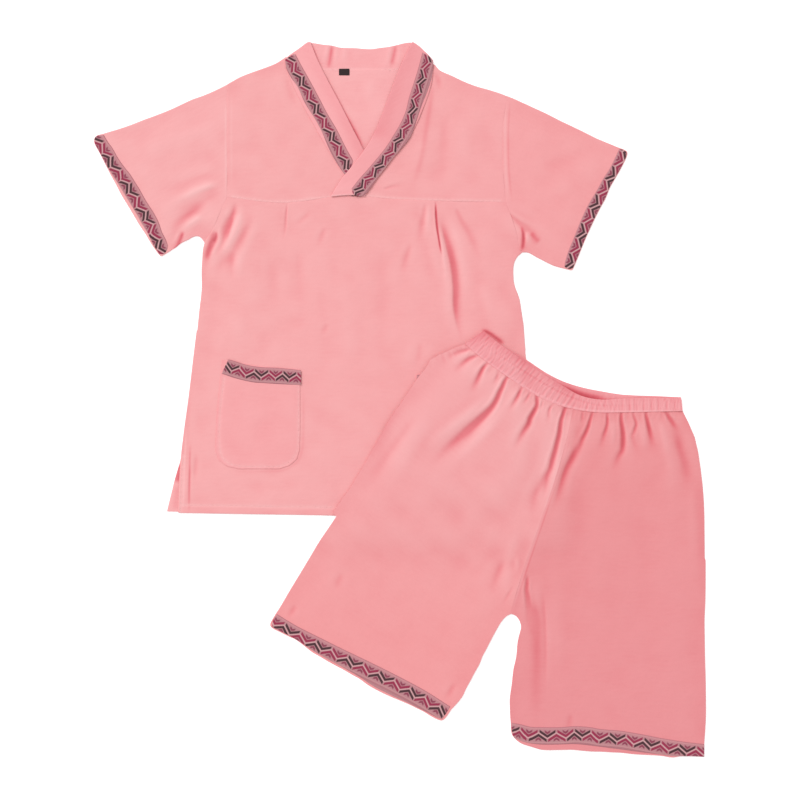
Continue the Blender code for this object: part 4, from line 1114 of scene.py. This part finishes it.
# The ribbons whole: the edge that the pattern is measured from, an end, the other edge, an end
ribbons = {
    "leftNeck": [
        [(295, 53.6), (302, 67), (310, 81.3), (320, 100), (326.5, 112.6), (337, 130.5), (346, 148.4),
         (351.5, 158)],
        [(351.5, 158), (353, 162), (350.5, 168), (344.8, 175)],
        [(344.8, 175), (337, 163.5), (330, 151), (322, 132), (316, 120.7), (305, 103), (298, 87.6), (290, 76),
         (286.4, 68), (285.3, 60)],
        [(285.3, 60), (295, 53.6)]],
    "rightNeck": [
        [(352, 188.8), (360, 178.7), (369, 168.6), (378.4, 157.4), (386.5, 147), (394.6, 134), (401, 123),
         (406, 111), (409, 98.6), (414, 83), (418, 70), (422.5, 53)],
        [(422.5, 53), (428, 56.2), (433, 61)],
        [(433, 61), (433, 68), (431, 80), (427, 92), (423, 102), (420, 110), (417, 119), (413.5, 130),
         (409, 139), (401, 149), (392.6, 159), (384.5, 169.6), (376.4, 179.7), (368, 191.8), (364, 196)],
        [(364, 196), (358, 196.5), (353.5, 194.5), (352, 188.8)]],
    "leftCuff": [
        [(104, 135.2), (108, 142), (113, 149), (118, 158), (125, 168), (130, 174), (135, 182), (140, 190),
         (145, 199), (150, 207), (155, 215), (159, 223), (162, 232), (166, 240), (168, 246)],
        [(168, 246), (167, 250), (164, 254), (159.6, 254)],
        [(159.6, 254), (153, 244), (148.5, 234), (142.3, 224), (136.8, 214), (130.8, 204), (124.6, 194),
         (118.6, 184), (112, 174), (106, 164), (100.8, 154), (95.3, 144)],
        [(95.3, 144), (94.7, 139.5), (97.2, 136.2), (104, 135.2)]],
    "rightCuff": [
        [(565, 262), (568, 252), (572.5, 241), (576.5, 231), (581, 220), (586, 209), (591, 200), (597, 190),
         (603, 179), (610, 168), (614, 160), (619, 149.2)],
        [(619, 149.2), (624, 150.6), (626.4, 153), (625.4, 158)],
        [(625.4, 158), (620.5, 168), (614.8, 178), (609.1, 188), (605.1, 198), (599.6, 208), (594.5, 218),
         (589.8, 228), (585.2, 238), (581.1, 248), (577, 258), (572.7, 268)],
        [(572.7, 268), (569, 269), (564.8, 267), (565, 262)]],
    "leftPocket": [
        [(228.5, 359.6), (236, 361.6), (245, 364.5), (255, 366.5), (265, 367.5), (275, 367.8), (285, 368.6),
         (295, 369.6), (301, 370.5)],
        [(301, 370.5), (301, 384.8)],
        [(301, 384.8), (280, 384), (265, 383), (255, 382.4), (245, 380.5), (235, 378), (222.2, 373.6)],
        [(222.2, 373.6), (228.5, 359.6)]],
    "rightPocket": [
        [(417, 375), (436, 373.2), (455, 372), (474, 370.2), (493, 367.3)],
        [(493, 367.3), (494.8, 381)],
        [(494.8, 381), (475, 385), (455, 388), (436, 389), (417, 389)],
        [(417, 389), (417, 375)]],
    "leftHem": [
        [(277, 614), (297, 626), (320, 637.6), (343, 649), (368, 661), (395, 674.4), (425, 690.4),
         (450, 706.3)],
        [(450, 706.3), (446, 713), (442, 718.6)],
        [(442, 718.6), (438, 717.6), (432, 714.6), (425, 710.8), (415, 706), (405, 701), (395, 696.6),
         (385, 691.6), (375, 686.6), (360, 676.8), (350, 671), (340, 665.4), (330, 660), (320, 654.4),
         (312, 649.6), (304, 644.2), (296, 639), (288, 634.6), (280, 630.6), (272.4, 626.6)],
        [(272.4, 626.6), (273, 621), (277, 614)]],
    "rightHem": [
        [(511.3, 722.6), (520, 724), (530, 726.5), (540, 727), (560, 727), (575, 726), (590, 727),
         (600, 728.8), (620, 730.5), (640, 733.8), (660, 737.7), (680, 741), (704, 744)],
        [(704, 744), (703.8, 756.4)],
        [(703.8, 756.4), (692, 755.9), (672, 755.6), (660, 754), (640, 751.6), (620, 748.9), (600, 746.3),
         (590, 745), (575, 743.6), (560, 744), (540, 744), (525, 741.8), (514, 737.5)],
        [(514, 737.5), (512.3, 733), (511.3, 722.6)]],
}


# The top. Creases: start, width, height, the side that lies over, path in the photo.

topCreases = [
    # left tuck and the soft bands that fall from it
    ("seam", 4.5, -1.2, 1, [(287.5, 203), (286.5, 218), (285.5, 231), (283, 243)]),
    ("free", 56, -0.55, 0, [(287, 232), (284, 290), (281, 365)]),
    ("free", 20, -0.2, 0, [(299, 238), (300, 290), (302, 350)]),
    ("free", 40, 0.5, 0, [(323, 240), (326, 300), (328, 360)]),
    ("free", 8, -0.4, 0, [(312, 211), (302, 220), (292, 228)]),
    ("free", 9, -0.45, 0, [(326, 226), (321, 238), (318, 249)]),
    # knife pleat
    ("seam", 3.4, -1.7, -1, [(435.5, 200), (435.5, 212), (436, 222), (437.5, 232), (439.5, 240), (441, 250),
                             (442.5, 258), (443, 266)]),
    ("free", 6, 0.8, 0, [(438, 220), (443, 250), (444.5, 262), (446, 275), (447, 292)]),
    ("free", 16, -2.2, -1, [(441, 220), (445, 238), (448, 250), (451, 262), (453, 275), (454, 290),
                            (454, 305), (456, 320), (459, 332), (463, 348)]),
    ("seam", 10, -0.45, 0, [(457, 211), (462, 222), (468, 232), (474, 245), (479, 256), (484, 270)]),
    ("free", 22, 0.6, 0, [(448, 208), (453, 226), (461, 250), (468, 290)]),
    ("seam", 8, -0.4, 0, [(425, 205), (424, 215), (421, 228), (419, 238), (417, 252)]),
    ("free", 10, -0.5, 0, [(412, 240), (408, 252), (404, 265), (402, 280)]),
    ("free", 9, 0.5, 0, [(430, 200), (428, 220), (425, 246)]),
    # painted shade along the pleat's fold and down its trough
    ("tone", 3.2, 3.0, 0, [(435.6, 200), (436, 213), (437, 227), (439, 241), (442, 258)]),
    ("tone", 17, 0.4, 0, [(446, 242), (451, 262), (454, 290), (455, 325)]),
    # under the left arm
    ("free", 8.5, -1.4, 0, [(217, 230), (216, 238), (213, 243), (209, 250), (207, 256), (206, 263),
                            (206, 272)]),
    ("free", 11, -1.5, 0, [(236, 200), (234, 212), (231, 220), (228, 228), (226, 235), (223, 243),
                           (221, 252)]),
    ("free", 8, 0.8, 0, [(220, 224), (219, 240), (215, 250), (210, 264)]),
    ("free", 18, 1.0, 0, [(245, 205), (238, 225), (228, 245), (215, 262), (205, 287)]),
    ("free", 15, -0.6, 0, [(250, 218), (243, 235), (236, 247), (230, 257), (222, 265), (214, 280)]),
    ("free", 12, -0.5, 0, [(233, 250), (232, 270), (231, 287)]),
    ("free", 5, -0.9, 0, [(214, 222), (213, 227), (208, 229), (206, 231)]),
    # painted shade in the folds under the arm
    ("tone", 13, 1.0, 0, [(215, 228), (212, 238), (209, 250), (206, 262)]),
    ("tone", 6, 0.9, 0, [(216.5, 231), (216, 237), (213, 243)]),
    ("tone", 6, 0.5, 0, [(234, 216), (231, 226), (226, 243)]),
    ("free", 30, 0.6, 0, [(262, 215), (242, 250), (228, 300)]),
    # broad bands down the body
    ("free", 50, 0.45, 0, [(245, 300), (236, 350), (228, 410)]),
    ("free", 60, 0.6, 0, [(340, 240), (345, 320), (348, 420)]),
    ("free", 46, -0.5, 0, [(385, 230), (382, 320), (378, 410)]),
    ("free", 36, -0.4, 0, [(322, 250), (325, 330), (330, 400)]),
    ("free", 9, -0.35, 0, [(328, 324), (324, 330), (319, 335)]),
    ("free", 30, 0.6, 0, [(480, 280), (490, 310), (500, 335)]),
    ("free", 16, -0.5, 0, [(420, 340), (419, 355), (415, 372)]),
    # beside the slit and at the hem
    ("free", 4.5, -0.6, 0, [(191, 462), (189.7, 485), (189, 507)]),
    # a painted shade line beside the slit, and a painted highlight nearer its edge
    ("tone", 3.6, 0.9, 0, [(190.5, 440), (189.6, 475), (189, 516)]),
    ("tone", 3.4, -0.8, 0, [(186.5, 425), (184.6, 470), (183.2, 516)]),
    ("free", 7, -0.4, 0, [(197, 450), (195.5, 470), (194, 490)]),
    ("free", 26, 0.5, 0, [(186, 380), (192, 420), (194, 455)]),
    ("free", 60, 0.3, 0, [(320, 410), (290, 440), (260, 480)]),
    ("free", 30, -0.3, 0, [(240, 482), (270, 487), (310, 480)]),
    # the shade that the shorts' waistband throws on the top
    ("tone", 8, 2.2, 0, [(480, 329), (488, 332.5), (496, 338), (505, 345)]),
    # round the pocket, painted shade outside its edge
    ("tone", 6, 0.3, 0, [(303, 380), (303.5, 400), (303.5, 430), (302, 451), (297, 462), (285, 469.5),
                         (262, 471.5), (240, 471.5), (226, 467)]),
]
# Its stroke rows paint shade into the folds, and a highlight along the armhole seam where the height is negative.
sleeveCreasesLeft = [
    ("free", 18, 1.3, 0, [(222, 182), (202, 189), (183, 197), (165, 206)]),
    ("free", 24, -1.0, 0, [(210, 200), (192, 212), (178, 223), (168, 240)]),
    ("tone", 18, 0.25, 0, [(208, 202), (192, 213), (177, 226), (168, 240)]),
    ("tone", 4, -0.5, 0, [(226, 95), (226, 120), (226, 150), (226.3, 180), (225.5, 200)]),
    ("free", 9, -0.3, 0, [(220, 188), (205, 192), (190, 197)]),
    ("free", 12, 1.0, 0, [(205, 214), (190, 224), (178, 236)]),
    ("free", 6, -1.6, 0, [(183, 231), (181, 238), (178, 244), (174, 250)]),
    ("tone", 8, 1.5, 0, [(184, 230), (181, 238), (177, 247), (172, 253)]),
    ("free", 50, -0.35, 0, [(226, 150), (200, 160), (160, 172)]),
    ("free", 40, 0.4, 0, [(222, 120), (180, 140), (130, 160)]),
]
# Its stroke rows paint shade into the armpit folds and beside the armhole seam, and a highlight along that seam
# where the height is negative.
sleeveCreasesRight = [
    ("seam", 9, -1.7, 0, [(511, 216), (516, 221), (522, 226), (528, 230), (534, 234), (540, 242)]),
    ("free", 4.5, -1.3, 0, [(524, 230), (524, 238), (522.5, 246), (521, 251)]),
    ("free", 8, 0.8, 0, [(527, 231), (528, 240), (529, 248)]),
    ("free", 5, -0.5, 0, [(515, 238), (515, 250)]),
    ("free", 9, 0.6, 0, [(510, 222), (514, 232), (518, 246)]),
    ("tone", 12, 1.0, 0, [(530, 232), (535, 238), (540, 243)]),
    ("tone", 7, 1.9, 0, [(521, 225), (523, 235), (523, 244), (521, 253)]),
    ("tone", 5, -0.6, 0, [(506.5, 96), (505, 125), (505, 150), (505.5, 170), (507, 190), (508.5, 205)]),
    ("tone", 3.2, 0.5, 0, [(510.5, 94), (508.3, 128), (508.2, 150), (508.8, 170), (510.5, 190), (513, 207)]),
    ("free", 40, 0.35, 0, [(575, 180), (556, 190), (530, 195)]),
    ("free", 40, -0.35, 0, [(590, 150), (550, 165), (515, 170)]),
]
yokeCreasesLeft = [
    # a painted highlight along the armhole seam
    ("tone", 4, -0.3, 0, [(231.5, 88), (231.5, 120), (231.5, 150), (231.5, 192)]),
    ("free", 30, -0.25, 0, [(236, 110), (250, 105), (272, 100)]),
    ("free", 14, -0.4, 0, [(285, 70), (290, 90), (302, 118)]),
    ("free", 50, 0.35, 0, [(250, 150), (262, 170), (280, 190)]),
]
yokeCreasesRight = [
    ("free", 8, -0.6, 0, [(434, 72), (438, 80), (440, 92)]),
    ("seam", 6, -0.5, 0, [(385, 189), (396, 186), (408, 185)]),
    ("free", 26, -0.5, 0, [(445, 110), (443, 150), (440, 195)]),
    ("free", 34, 0.5, 0, [(462, 105), (466, 150), (470, 195)]),
    ("free", 26, 0.4, 0, [(424, 130), (418, 160), (412, 190)]),
    # painted shade beside the neck ribbon
    ("tone", 12, 0.55, 0, [(432, 74), (432, 90), (427, 125), (421, 160), (411, 192)]),
]
# Its stroke rows paint shade into the collar's folds.
neckCreases = [
    ("tone", 6, 1.6, 0, [(311, 44), (315, 56), (320, 72)]),
    ("free", 8, -1.3, 0, [(333, 42), (331, 56), (328, 72)]),
    ("tone", 7, 0.9, 0, [(332, 44), (330.5, 56), (328, 70)]),
    ("free", 8, -1.2, 0, [(396, 42), (394, 56), (390, 72)]),
    ("tone", 6, 0.7, 0, [(396, 44), (394, 54), (391, 66)]),
    ("free", 10, 0.4, 0, [(345, 46), (344, 56), (342, 66)]),
]
bandFoot = [
    ("seam", 12, -1.2, 0, [(326, 198), (345, 197), (370, 197.5)]),
    # a painted highlight along the band's foot, against its shadow line
    ("tone", 5, -1.6, 0, [(322, 197.5), (345, 196), (372, 197)]),
]
insideCreases = [
    ("free", 30, -0.3, 0, [(345, 76), (346, 96), (350, 118)]),
    ("free", 24, 0.3, 0, [(372, 76), (370, 90), (366, 110)]),
    # the shade along the neck bands' free edges
    ("tone", 7, 2.0, 0, [(316, 60), (322, 74), (330, 88), (340, 106), (350, 124), (360, 142), (367, 156)]),
    ("tone", 7, 0.35, 0, [(402, 76), (394, 92), (385, 116), (374, 140)]),
    # painted shade on the sliver that shows in the slit
    ("tone", 14, 1.6, 0, [(180, 462), (178.5, 474), (177.5, 484)]),
    ("tone", 12, 0.5, 0, [(177.5, 484), (176, 500), (175, 512)]),
]

plain = {"material": topCotton, "thread": topThread}
hidden = {"coarse": 5.0, "fine": 3.2, "finest": 1.8, "step": 2.5}


def shapedAlong(*names):
    return {"reshape": [outlines[name] for name in names]}


sleeves = (("left", sleeveCreasesLeft, 26), ("right", sleeveCreasesRight, -24))
clothPiece("back", "top_back",
           dict(plain, material=litBackCotton, grain=1.4, **hidden,
                **shapedAlong("leftShoulder", "rightShoulder", "backNeck", "bodyLeft", "bodyRight")), insideCreases)
for side, creases, grain in sleeves:
    clothPiece(side + "SleeveBack", "sleeve_%s_back" % side,
               dict(plain, material=sleeveCotton, grain=grain, **hidden,
                    **shapedAlong(side + "Cuff", side + "SleeveTop", side + "SleeveFoot")))
clothPiece("bandBack", "band_back",
           dict(plain, material=collarCotton, coarse=2.4, fine=1.8, settle=3.0, **shapedAlong("collarTop"),
                seams=[{"edge": [(303, 68), (426, 68)], "insets": (2.2,), "raised": False}]), neckCreases)
clothPiece("front", "top_front",
           dict(plain, grain=1.4, step=1.2, **shapedAlong("bodyLeft", "bodyRight"), seams=[
               {"edge": [(166, 512), (470, 510)], "insets": (12.0,), "raised": False},
               {"edge": [(180, 455), (176, 512)], "insets": (3.4,)},
           ]), topCreases, ["back"])
clothPiece("leftYoke", "yoke_left", dict(plain, grain=1.4, **shapedAlong("leftShoulder"), seams=[
    {"edge": [(232, 203), (335, 203)], "insets": (2.2,)},
]), yokeCreasesLeft, ["back"])
clothPiece("rightYoke", "yoke_right", dict(plain, grain=-3.0, **shapedAlong("rightShoulder"), seams=[
    {"edge": [(350, 201), (500, 199)], "insets": (2.2,)},
]), yokeCreasesRight, ["back"])
for side, creases, grain in sleeves:
    clothPiece(side + "SleeveFront", "sleeve_%s_front" % side,
               dict(plain, material=sleeveCotton, grain=grain,
                    **shapedAlong(side + "Cuff", side + "SleeveTop", side + "SleeveFoot")),
               creases, [side + "SleeveBack"])
clothPiece("leftBand", "band_left",
           dict(plain, material=bandCotton, coarse=3.0, gap=0.1, grain=-28, drift=0.05,
                **shapedAlong("leftBandTop")),
           (), ["leftYoke", "bandBack", "back"])
clothPiece("rightBand", "band_right",
           dict(plain, material=bandCotton, coarse=3.0, gap=0.1, grain=30, drift=0.05,
                **shapedAlong("rightBandTop")),
           bandFoot, ["rightYoke", "leftBand", "leftYoke", "bandBack", "back"])
pocketSewing = {
    "left": [(224.5, 378), (222, 396), (220.3, 415), (219.5, 440), (222, 456), (229.5, 463.5), (242, 466.2),
             (262, 466.4), (279, 466.2), (288.5, 462.6), (294.4, 457), (297.6, 449), (298.6, 430),
             (298.6, 387)],
    "right": [(419.6, 392), (419.6, 423), (421.2, 453), (423.5, 461.4), (429.5, 466.2), (438, 469.4),
              (458, 470.4), (477, 471.2), (487.5, 469.2), (494.6, 463.8), (498, 455)],
}
for side in ("left", "right"):
    clothPiece(side + "Pocket", "pocket_" + side,
               dict(plain, material=pocketCotton, grain=1.4, lies=True, pillow=0.15, thickness=0.5,
                    coarse=3.4, settle=4.0, drift=0.0, seams=[{"path": pocketSewing[side]}]), (), ["front"])
print("the top's cloth is laid")


def trim(name, node, below, outline, peak, scale):
    clothPiece(name, node,
               {"material": ribbon, "outline": ribbons[outline], "peak": peak, "scale": scale,
                "edge": [ribbons[outline][0][0], ribbons[outline][0][-1]], "lies": True, "gap": 0.08,
                "thickness": 0.5, "coarse": 2.4, "fine": 2.4, "finish": 0.8, "settle": 2.0, "drift": 0.0,
                "meet": 0.0, "rimDrop": 0.2}, (), [below])


# Each with a magenta peak of its zigzag in the photo, then the pattern's size along and across the
# ribbon, as a share of ribbonLook's, and its shift across in mm
trim("leftNeckRibbon", "trim_neck_left", "leftBand", "leftNeck", (322.5, 120), (0.90, 0.87, 0.0))
trim("rightNeckRibbon", "trim_neck_right", "rightBand", "rightNeck", (386, 157), (0.89, 0.78, 0.0))
trim("leftCuffRibbon", "trim_cuff_left", "leftSleeveFront", "leftCuff", (136, 198), (0.92, 1.0, 0.0))
trim("rightCuffRibbon", "trim_cuff_right", "rightSleeveFront", "rightCuff", (585, 224), (0.93, 1.0, -2.7))
trim("leftPocketRibbon", "trim_pocket_left", "leftPocket", "leftPocket", (269, 374.5), (0.805, 0.93, 0.0))
trim("rightPocketRibbon", "trim_pocket_right", "rightPocket", "rightPocket", (440, 378), (0.82, 0.9, 0.0))
clothPiece("neckTab", "neck_tab",
           {"material": blackTape, "thickness": 0.6, "coarse": 1.5, "fine": 1.5, "step": 0.8, "lies": True,
            "gap": 0.1, "settle": 1.0, "drift": 0.0}, (), ["back"])
print("the top's trims are on")


# The shorts

gathers = [
    ("seam", 6, -1.46, 0, [(472, 349), (462, 351), (452, 355), (444, 361)]),
    ("seam", 7.6, -1.79, 0, [(479, 355), (470, 358), (462, 364), (452, 374)]),
    ("seam", 6.8, -2.24, 0, [(489, 361), (483, 368), (477, 380), (470, 395)]),
    ("seam", 5.1, -1.34, 0, [(499, 369), (496, 379), (491, 388)]),
    ("seam", 7.6, -3.25, 0, [(508, 375), (505, 380), (502, 387), (499, 393), (497, 398), (491, 408),
                             (478, 421), (461, 436)]),
    ("free", 20, -2.0, 0, [(498, 399), (480, 419), (450, 445), (428, 468)]),
    ("seam", 6, -2.13, 0, [(523, 385), (520, 391), (517, 397), (506, 415)]),
    ("seam", 4.2, -1.46, 0, [(531, 390), (527, 398), (520, 408)]),
    ("seam", 7.6, -2.8, 0, [(536, 396), (537, 404), (534, 411), (530, 418), (528, 424), (524, 430),
                            (521, 435), (518, 441), (515, 448), (511, 456)]),
    ("seam", 4.2, -1.34, 0, [(543, 400), (540, 408), (535, 413)]),
    ("seam", 4.7, -1.23, 0, [(553, 404), (549, 410), (548, 420), (547, 426)]),
    ("seam", 7.2, -3.02, 0, [(565, 408), (563, 414), (561, 420), (560, 426), (559, 434), (557, 442),
                             (555, 450), (552, 460), (550, 468), (547, 476), (546, 484), (545, 492),
                             (543, 500), (540, 514)]),
    ("free", 16, -0.9, 0, [(548, 466), (540, 485), (535, 495), (533, 505), (530, 520)]),
    ("free", 7, 0.8, 0, [(562, 440), (558, 462), (554, 482), (547, 504)]),
    ("seam", 4.2, -1.12, 0, [(583, 410), (582, 418), (580, 427)]),
    ("seam", 5.5, -2.58, 0, [(592, 413), (590, 420), (588, 427), (585, 434), (582, 440), (580, 446),
                             (577, 452), (572, 458)]),
    ("free", 12, -1.8, 0, [(580, 440), (572, 457), (565, 470), (560, 486), (556, 500), (549, 516)]),
    ("seam", 5.1, -1.68, 0, [(607, 413), (607, 425), (603, 437), (599, 452)]),
    ("seam", 6.8, -2.8, 0, [(621, 412), (621, 420), (623, 435), (622, 450), (618, 457), (611, 474)]),
    ("seam", 5.1, -1.57, 0, [(632, 412), (636, 424), (634, 431), (632, 437), (638, 455)]),
    ("seam", 6, -2.46, 0, [(645, 412), (648, 425), (651, 440), (652, 450)]),
    ("seam", 6, -2.35, 0, [(664, 410), (668, 416), (672, 422), (679, 434)]),
    ("free", 22, -1.1, 0, [(675, 426), (680, 450), (685, 465), (688, 494)]),
    ("free", 12, 0.7, 0, [(612, 418), (613, 436), (611, 452)]),
    ("free", 12, 0.7, 0, [(640, 418), (643, 438), (645, 456)]),
    ("free", 14, 0.7, 0, [(659, 418), (664, 438), (668, 460)]),
    ("free", 12, 0.7, 0, [(571, 416), (569, 432), (566, 446)]),
]
legCreases = [
    ("free", 70, 0.5, 0, [(514, 470), (470, 520), (430, 560)]),
    ("free", 60, 0.7, 0, [(440, 400), (400, 450), (360, 505)]),
    ("free", 26, -0.8, 0, [(420, 410), (388, 455), (356, 500)]),
    ("free", 60, -0.5, 0, [(500, 500), (460, 560), (420, 620)]),
    ("free", 50, 0.45, 0, [(470, 430), (440, 470), (400, 530)]),
    ("free", 26, 0.5, 0, [(521, 520), (508, 560), (500, 610)]),
    ("free", 5.5, -2.4, 0, [(527, 572), (527, 582), (526.5, 590), (527.5, 598), (528, 604), (529, 612),
                            (530, 622)]),
    ("free", 13, -0.8, 0, [(528, 585), (530, 605), (533, 640)]),
    ("free", 30, -1.0, 0, [(536, 590), (538, 650), (536, 722)]),
    # painted shade in the broad fold down the right leg
    ("tone", 26, 0.35, 0, [(534, 590), (536, 650), (535, 726)]),
    ("free", 9, -0.5, 1, [(543, 586), (546, 640), (545, 704)]),
    ("free", 4.5, -0.5, 0, [(513, 584), (512, 588), (507, 597), (502, 606)]),
    ("free", 18, -0.8, 0, [(505, 558), (497, 575), (490, 597)]),
    ("free", 8, 0.45, 0, [(517, 556), (517, 566), (516, 577)]),
    ("free", 50, 0.4, 0, [(560, 480), (556, 560), (552, 650)]),
    ("free", 70, 0.4, 0, [(600, 470), (592, 560), (590, 680)]),
    ("free", 70, -0.4, 0, [(640, 470), (646, 560), (650, 680)]),
    ("free", 24, 0.4, 0, [(690, 470), (692, 520), (693, 600)]),
    ("free", 60, 0.25, 0, [(330, 520), (345, 560), (370, 600)]),
    ("free", 12, -0.4, 0, [(343, 572), (338, 582), (336, 592)]),
    ("free", 9, -0.5, 0, [(297, 604), (291, 613), (288, 620)]),
    ("free", 9, -0.5, 0, [(455, 682), (450, 692), (444, 701)]),
    ("free", 10, -0.4, 0, [(571, 712), (569, 724), (566, 734)]),
    # a painted highlight along the front seam, with a painted shade line beside it
    ("tone", 4, -0.6, 0, [(571, 415), (563, 455), (545, 508), (523, 573), (509, 620)]),
    ("tone", 2.4, 0.7, 0, [(573.5, 415), (565.5, 455), (547.5, 508), (525.6, 573), (512, 618)]),
]
shortsPlain = {"thread": shortsThread, "contrast": 1.15, "drift": 0.07, "meet": 0.4, "rimDrop": 0.04}
legLooks = {
    "left": (leftLegCotton, -34, shapedAlong("leftLegOut", "leftHem", "crotchLeft", "overPocket")),
    "right": (shadedRightLegCotton, -2, shapedAlong("rightHem", "rightLegOut", "crotchRight")),
}
for side, (material, grain, shape) in legLooks.items():
    clothPiece(side + "LegBack", "leg_back_" + side,
               dict(shortsPlain, material=material, grain=grain, **hidden, **shape))
# painted shade on the back band, beside the front band's edge
inner = [("tone", 9, 1.8, 0, [(541, 376), (552, 382), (562, 389), (580, 396), (600, 401), (630, 402)]),
         ("tone", 10, 1.5, 0, [(556, 384), (575, 391.5), (590, 396), (608, 399)])]
waistCreases = [
    # a painted highlight along the band's lower edge
    ("tone", 3, -1.0, 0, [(450, 336), (466, 345.5), (487, 361), (511, 378), (540, 395.5), (573, 407.5),
                          (604, 411), (650, 411), (700, 411)]),
    ("free", 3.4, -0.3, 0, [(470, 338), (482, 342.5), (495, 352.5), (515, 366), (535, 378.5), (556, 390.5),
                             (575, 399), (600, 405.6), (640, 405.4), (690, 404.8)]),
]
clothPiece("waistBack", "waistband_back",
           dict(shortsPlain, material=waistCotton, coarse=1.9, fine=1.9, step=1.0, soften=1.6, thickness=1.6,
                crinkle=[([(484, 331), (680, 396)], 3.8, 0.3, 400.0)]), inner)
# Small folds under the elastic: along which edge, pitch, depth and reach in mm
frills = {
    "left": ([(446, 352), (560, 404)], 7.0, 0.55, 20.0),
    "right": ([(566, 408), (700, 412)], 7.0, 0.55, 20.0),
}
for side, (material, grain, shape) in legLooks.items():
    clothPiece(side + "LegFront", "leg_front_" + side,
               dict(shortsPlain, material=material, grain=grain, soften=6.0, step=1.3,
                    crinkle=[frills[side]], **shape), gathers + legCreases, [side + "LegBack"])
clothPiece("waistFront", "waistband_front",
           dict(shortsPlain, material=waistCotton, thickness=1.6, coarse=1.4, fine=1.4, step=0.8, soften=1.6,
                finish=0.6, settle=2.0, contrast=1.3, crinkle=[([(484, 331), (681, 398)], 3.9, 0.36, 400.0)]),
           waistCreases, ["waistBack"])
trim("leftHemRibbon", "trim_leg_left", "leftLegFront", "leftHem", (362, 667), (1.0, 1.0, 0.0))
trim("rightHemRibbon", "trim_leg_right", "rightLegFront", "rightHem", (590, 736), (1.01, 1.0, 0.0))
print("the shorts are laid over the top's corner")


# Floor, light and camera

bpy.ops.object.select_all(action="DESELECT")
bpy.ops.mesh.primitive_plane_add(size=studio["floorSize"], location=(0, 0, 0))
floor = bpy.context.object
floor.name = "floor"
floorLook = bpy.data.materials.new("white floor")
floorLook.use_nodes = True
floorShader = floorLook.node_tree.nodes["Principled BSDF"]
floorShader.inputs["Base Color"].default_value = (studio["floorWhite"],) * 3 + (1.0,)
floorShader.inputs["Roughness"].default_value = 1.0
floorShader.inputs["Specular IOR Level"].default_value = 0.0
floorShader.inputs["Emission Color"].default_value = (1.0, 1.0, 1.0, 1.0)
floorShader.inputs["Emission Strength"].default_value = studio["floorGlow"]
floor.data.materials.append(floorLook)

world = bpy.data.worlds.new("studio")
bpy.context.scene.world = world
world.use_nodes = True
world.node_tree.nodes["Background"].inputs[0].default_value = (1.0, 1.0, 1.0, 1.0)
world.node_tree.nodes["Background"].inputs[1].default_value = studio["sky"]

height, turn = math.radians(studio["sunHeight"]), math.radians(studio["sunFrom"])
toSun = Vector((math.cos(height) * math.cos(turn), math.cos(height) * math.sin(turn), math.sin(height)))
sun = bpy.data.lights.new("soft sun", "SUN")
sun.energy, sun.angle = studio["sunStrength"], math.radians(studio["sunSoftness"])
lamp = bpy.data.objects.new("soft sun", sun)
bpy.context.scene.collection.objects.link(lamp)
lamp.rotation_euler = (-toSun).to_track_quat("-Z", "Y").to_euler()

lens = bpy.data.cameras.new("camera")
camera = bpy.data.objects.new("camera", lens)
bpy.context.scene.collection.objects.link(camera)
seen = photo["pixels"] * photo["mmPerPixel"] * mm
centreX, centreY = fromPhoto([(photo["pixels"] / 2, photo["pixels"] / 2)])[0] * mm
camera.location = (centreX, centreY, studio["cameraHeight"])
lens.sensor_width = studio["sensor"]
lens.lens = studio["sensor"] * studio["cameraHeight"] / seen
bpy.context.scene.camera = camera
bpy.context.scene.view_settings.view_transform = "Standard"
print("stage, light and camera are set")
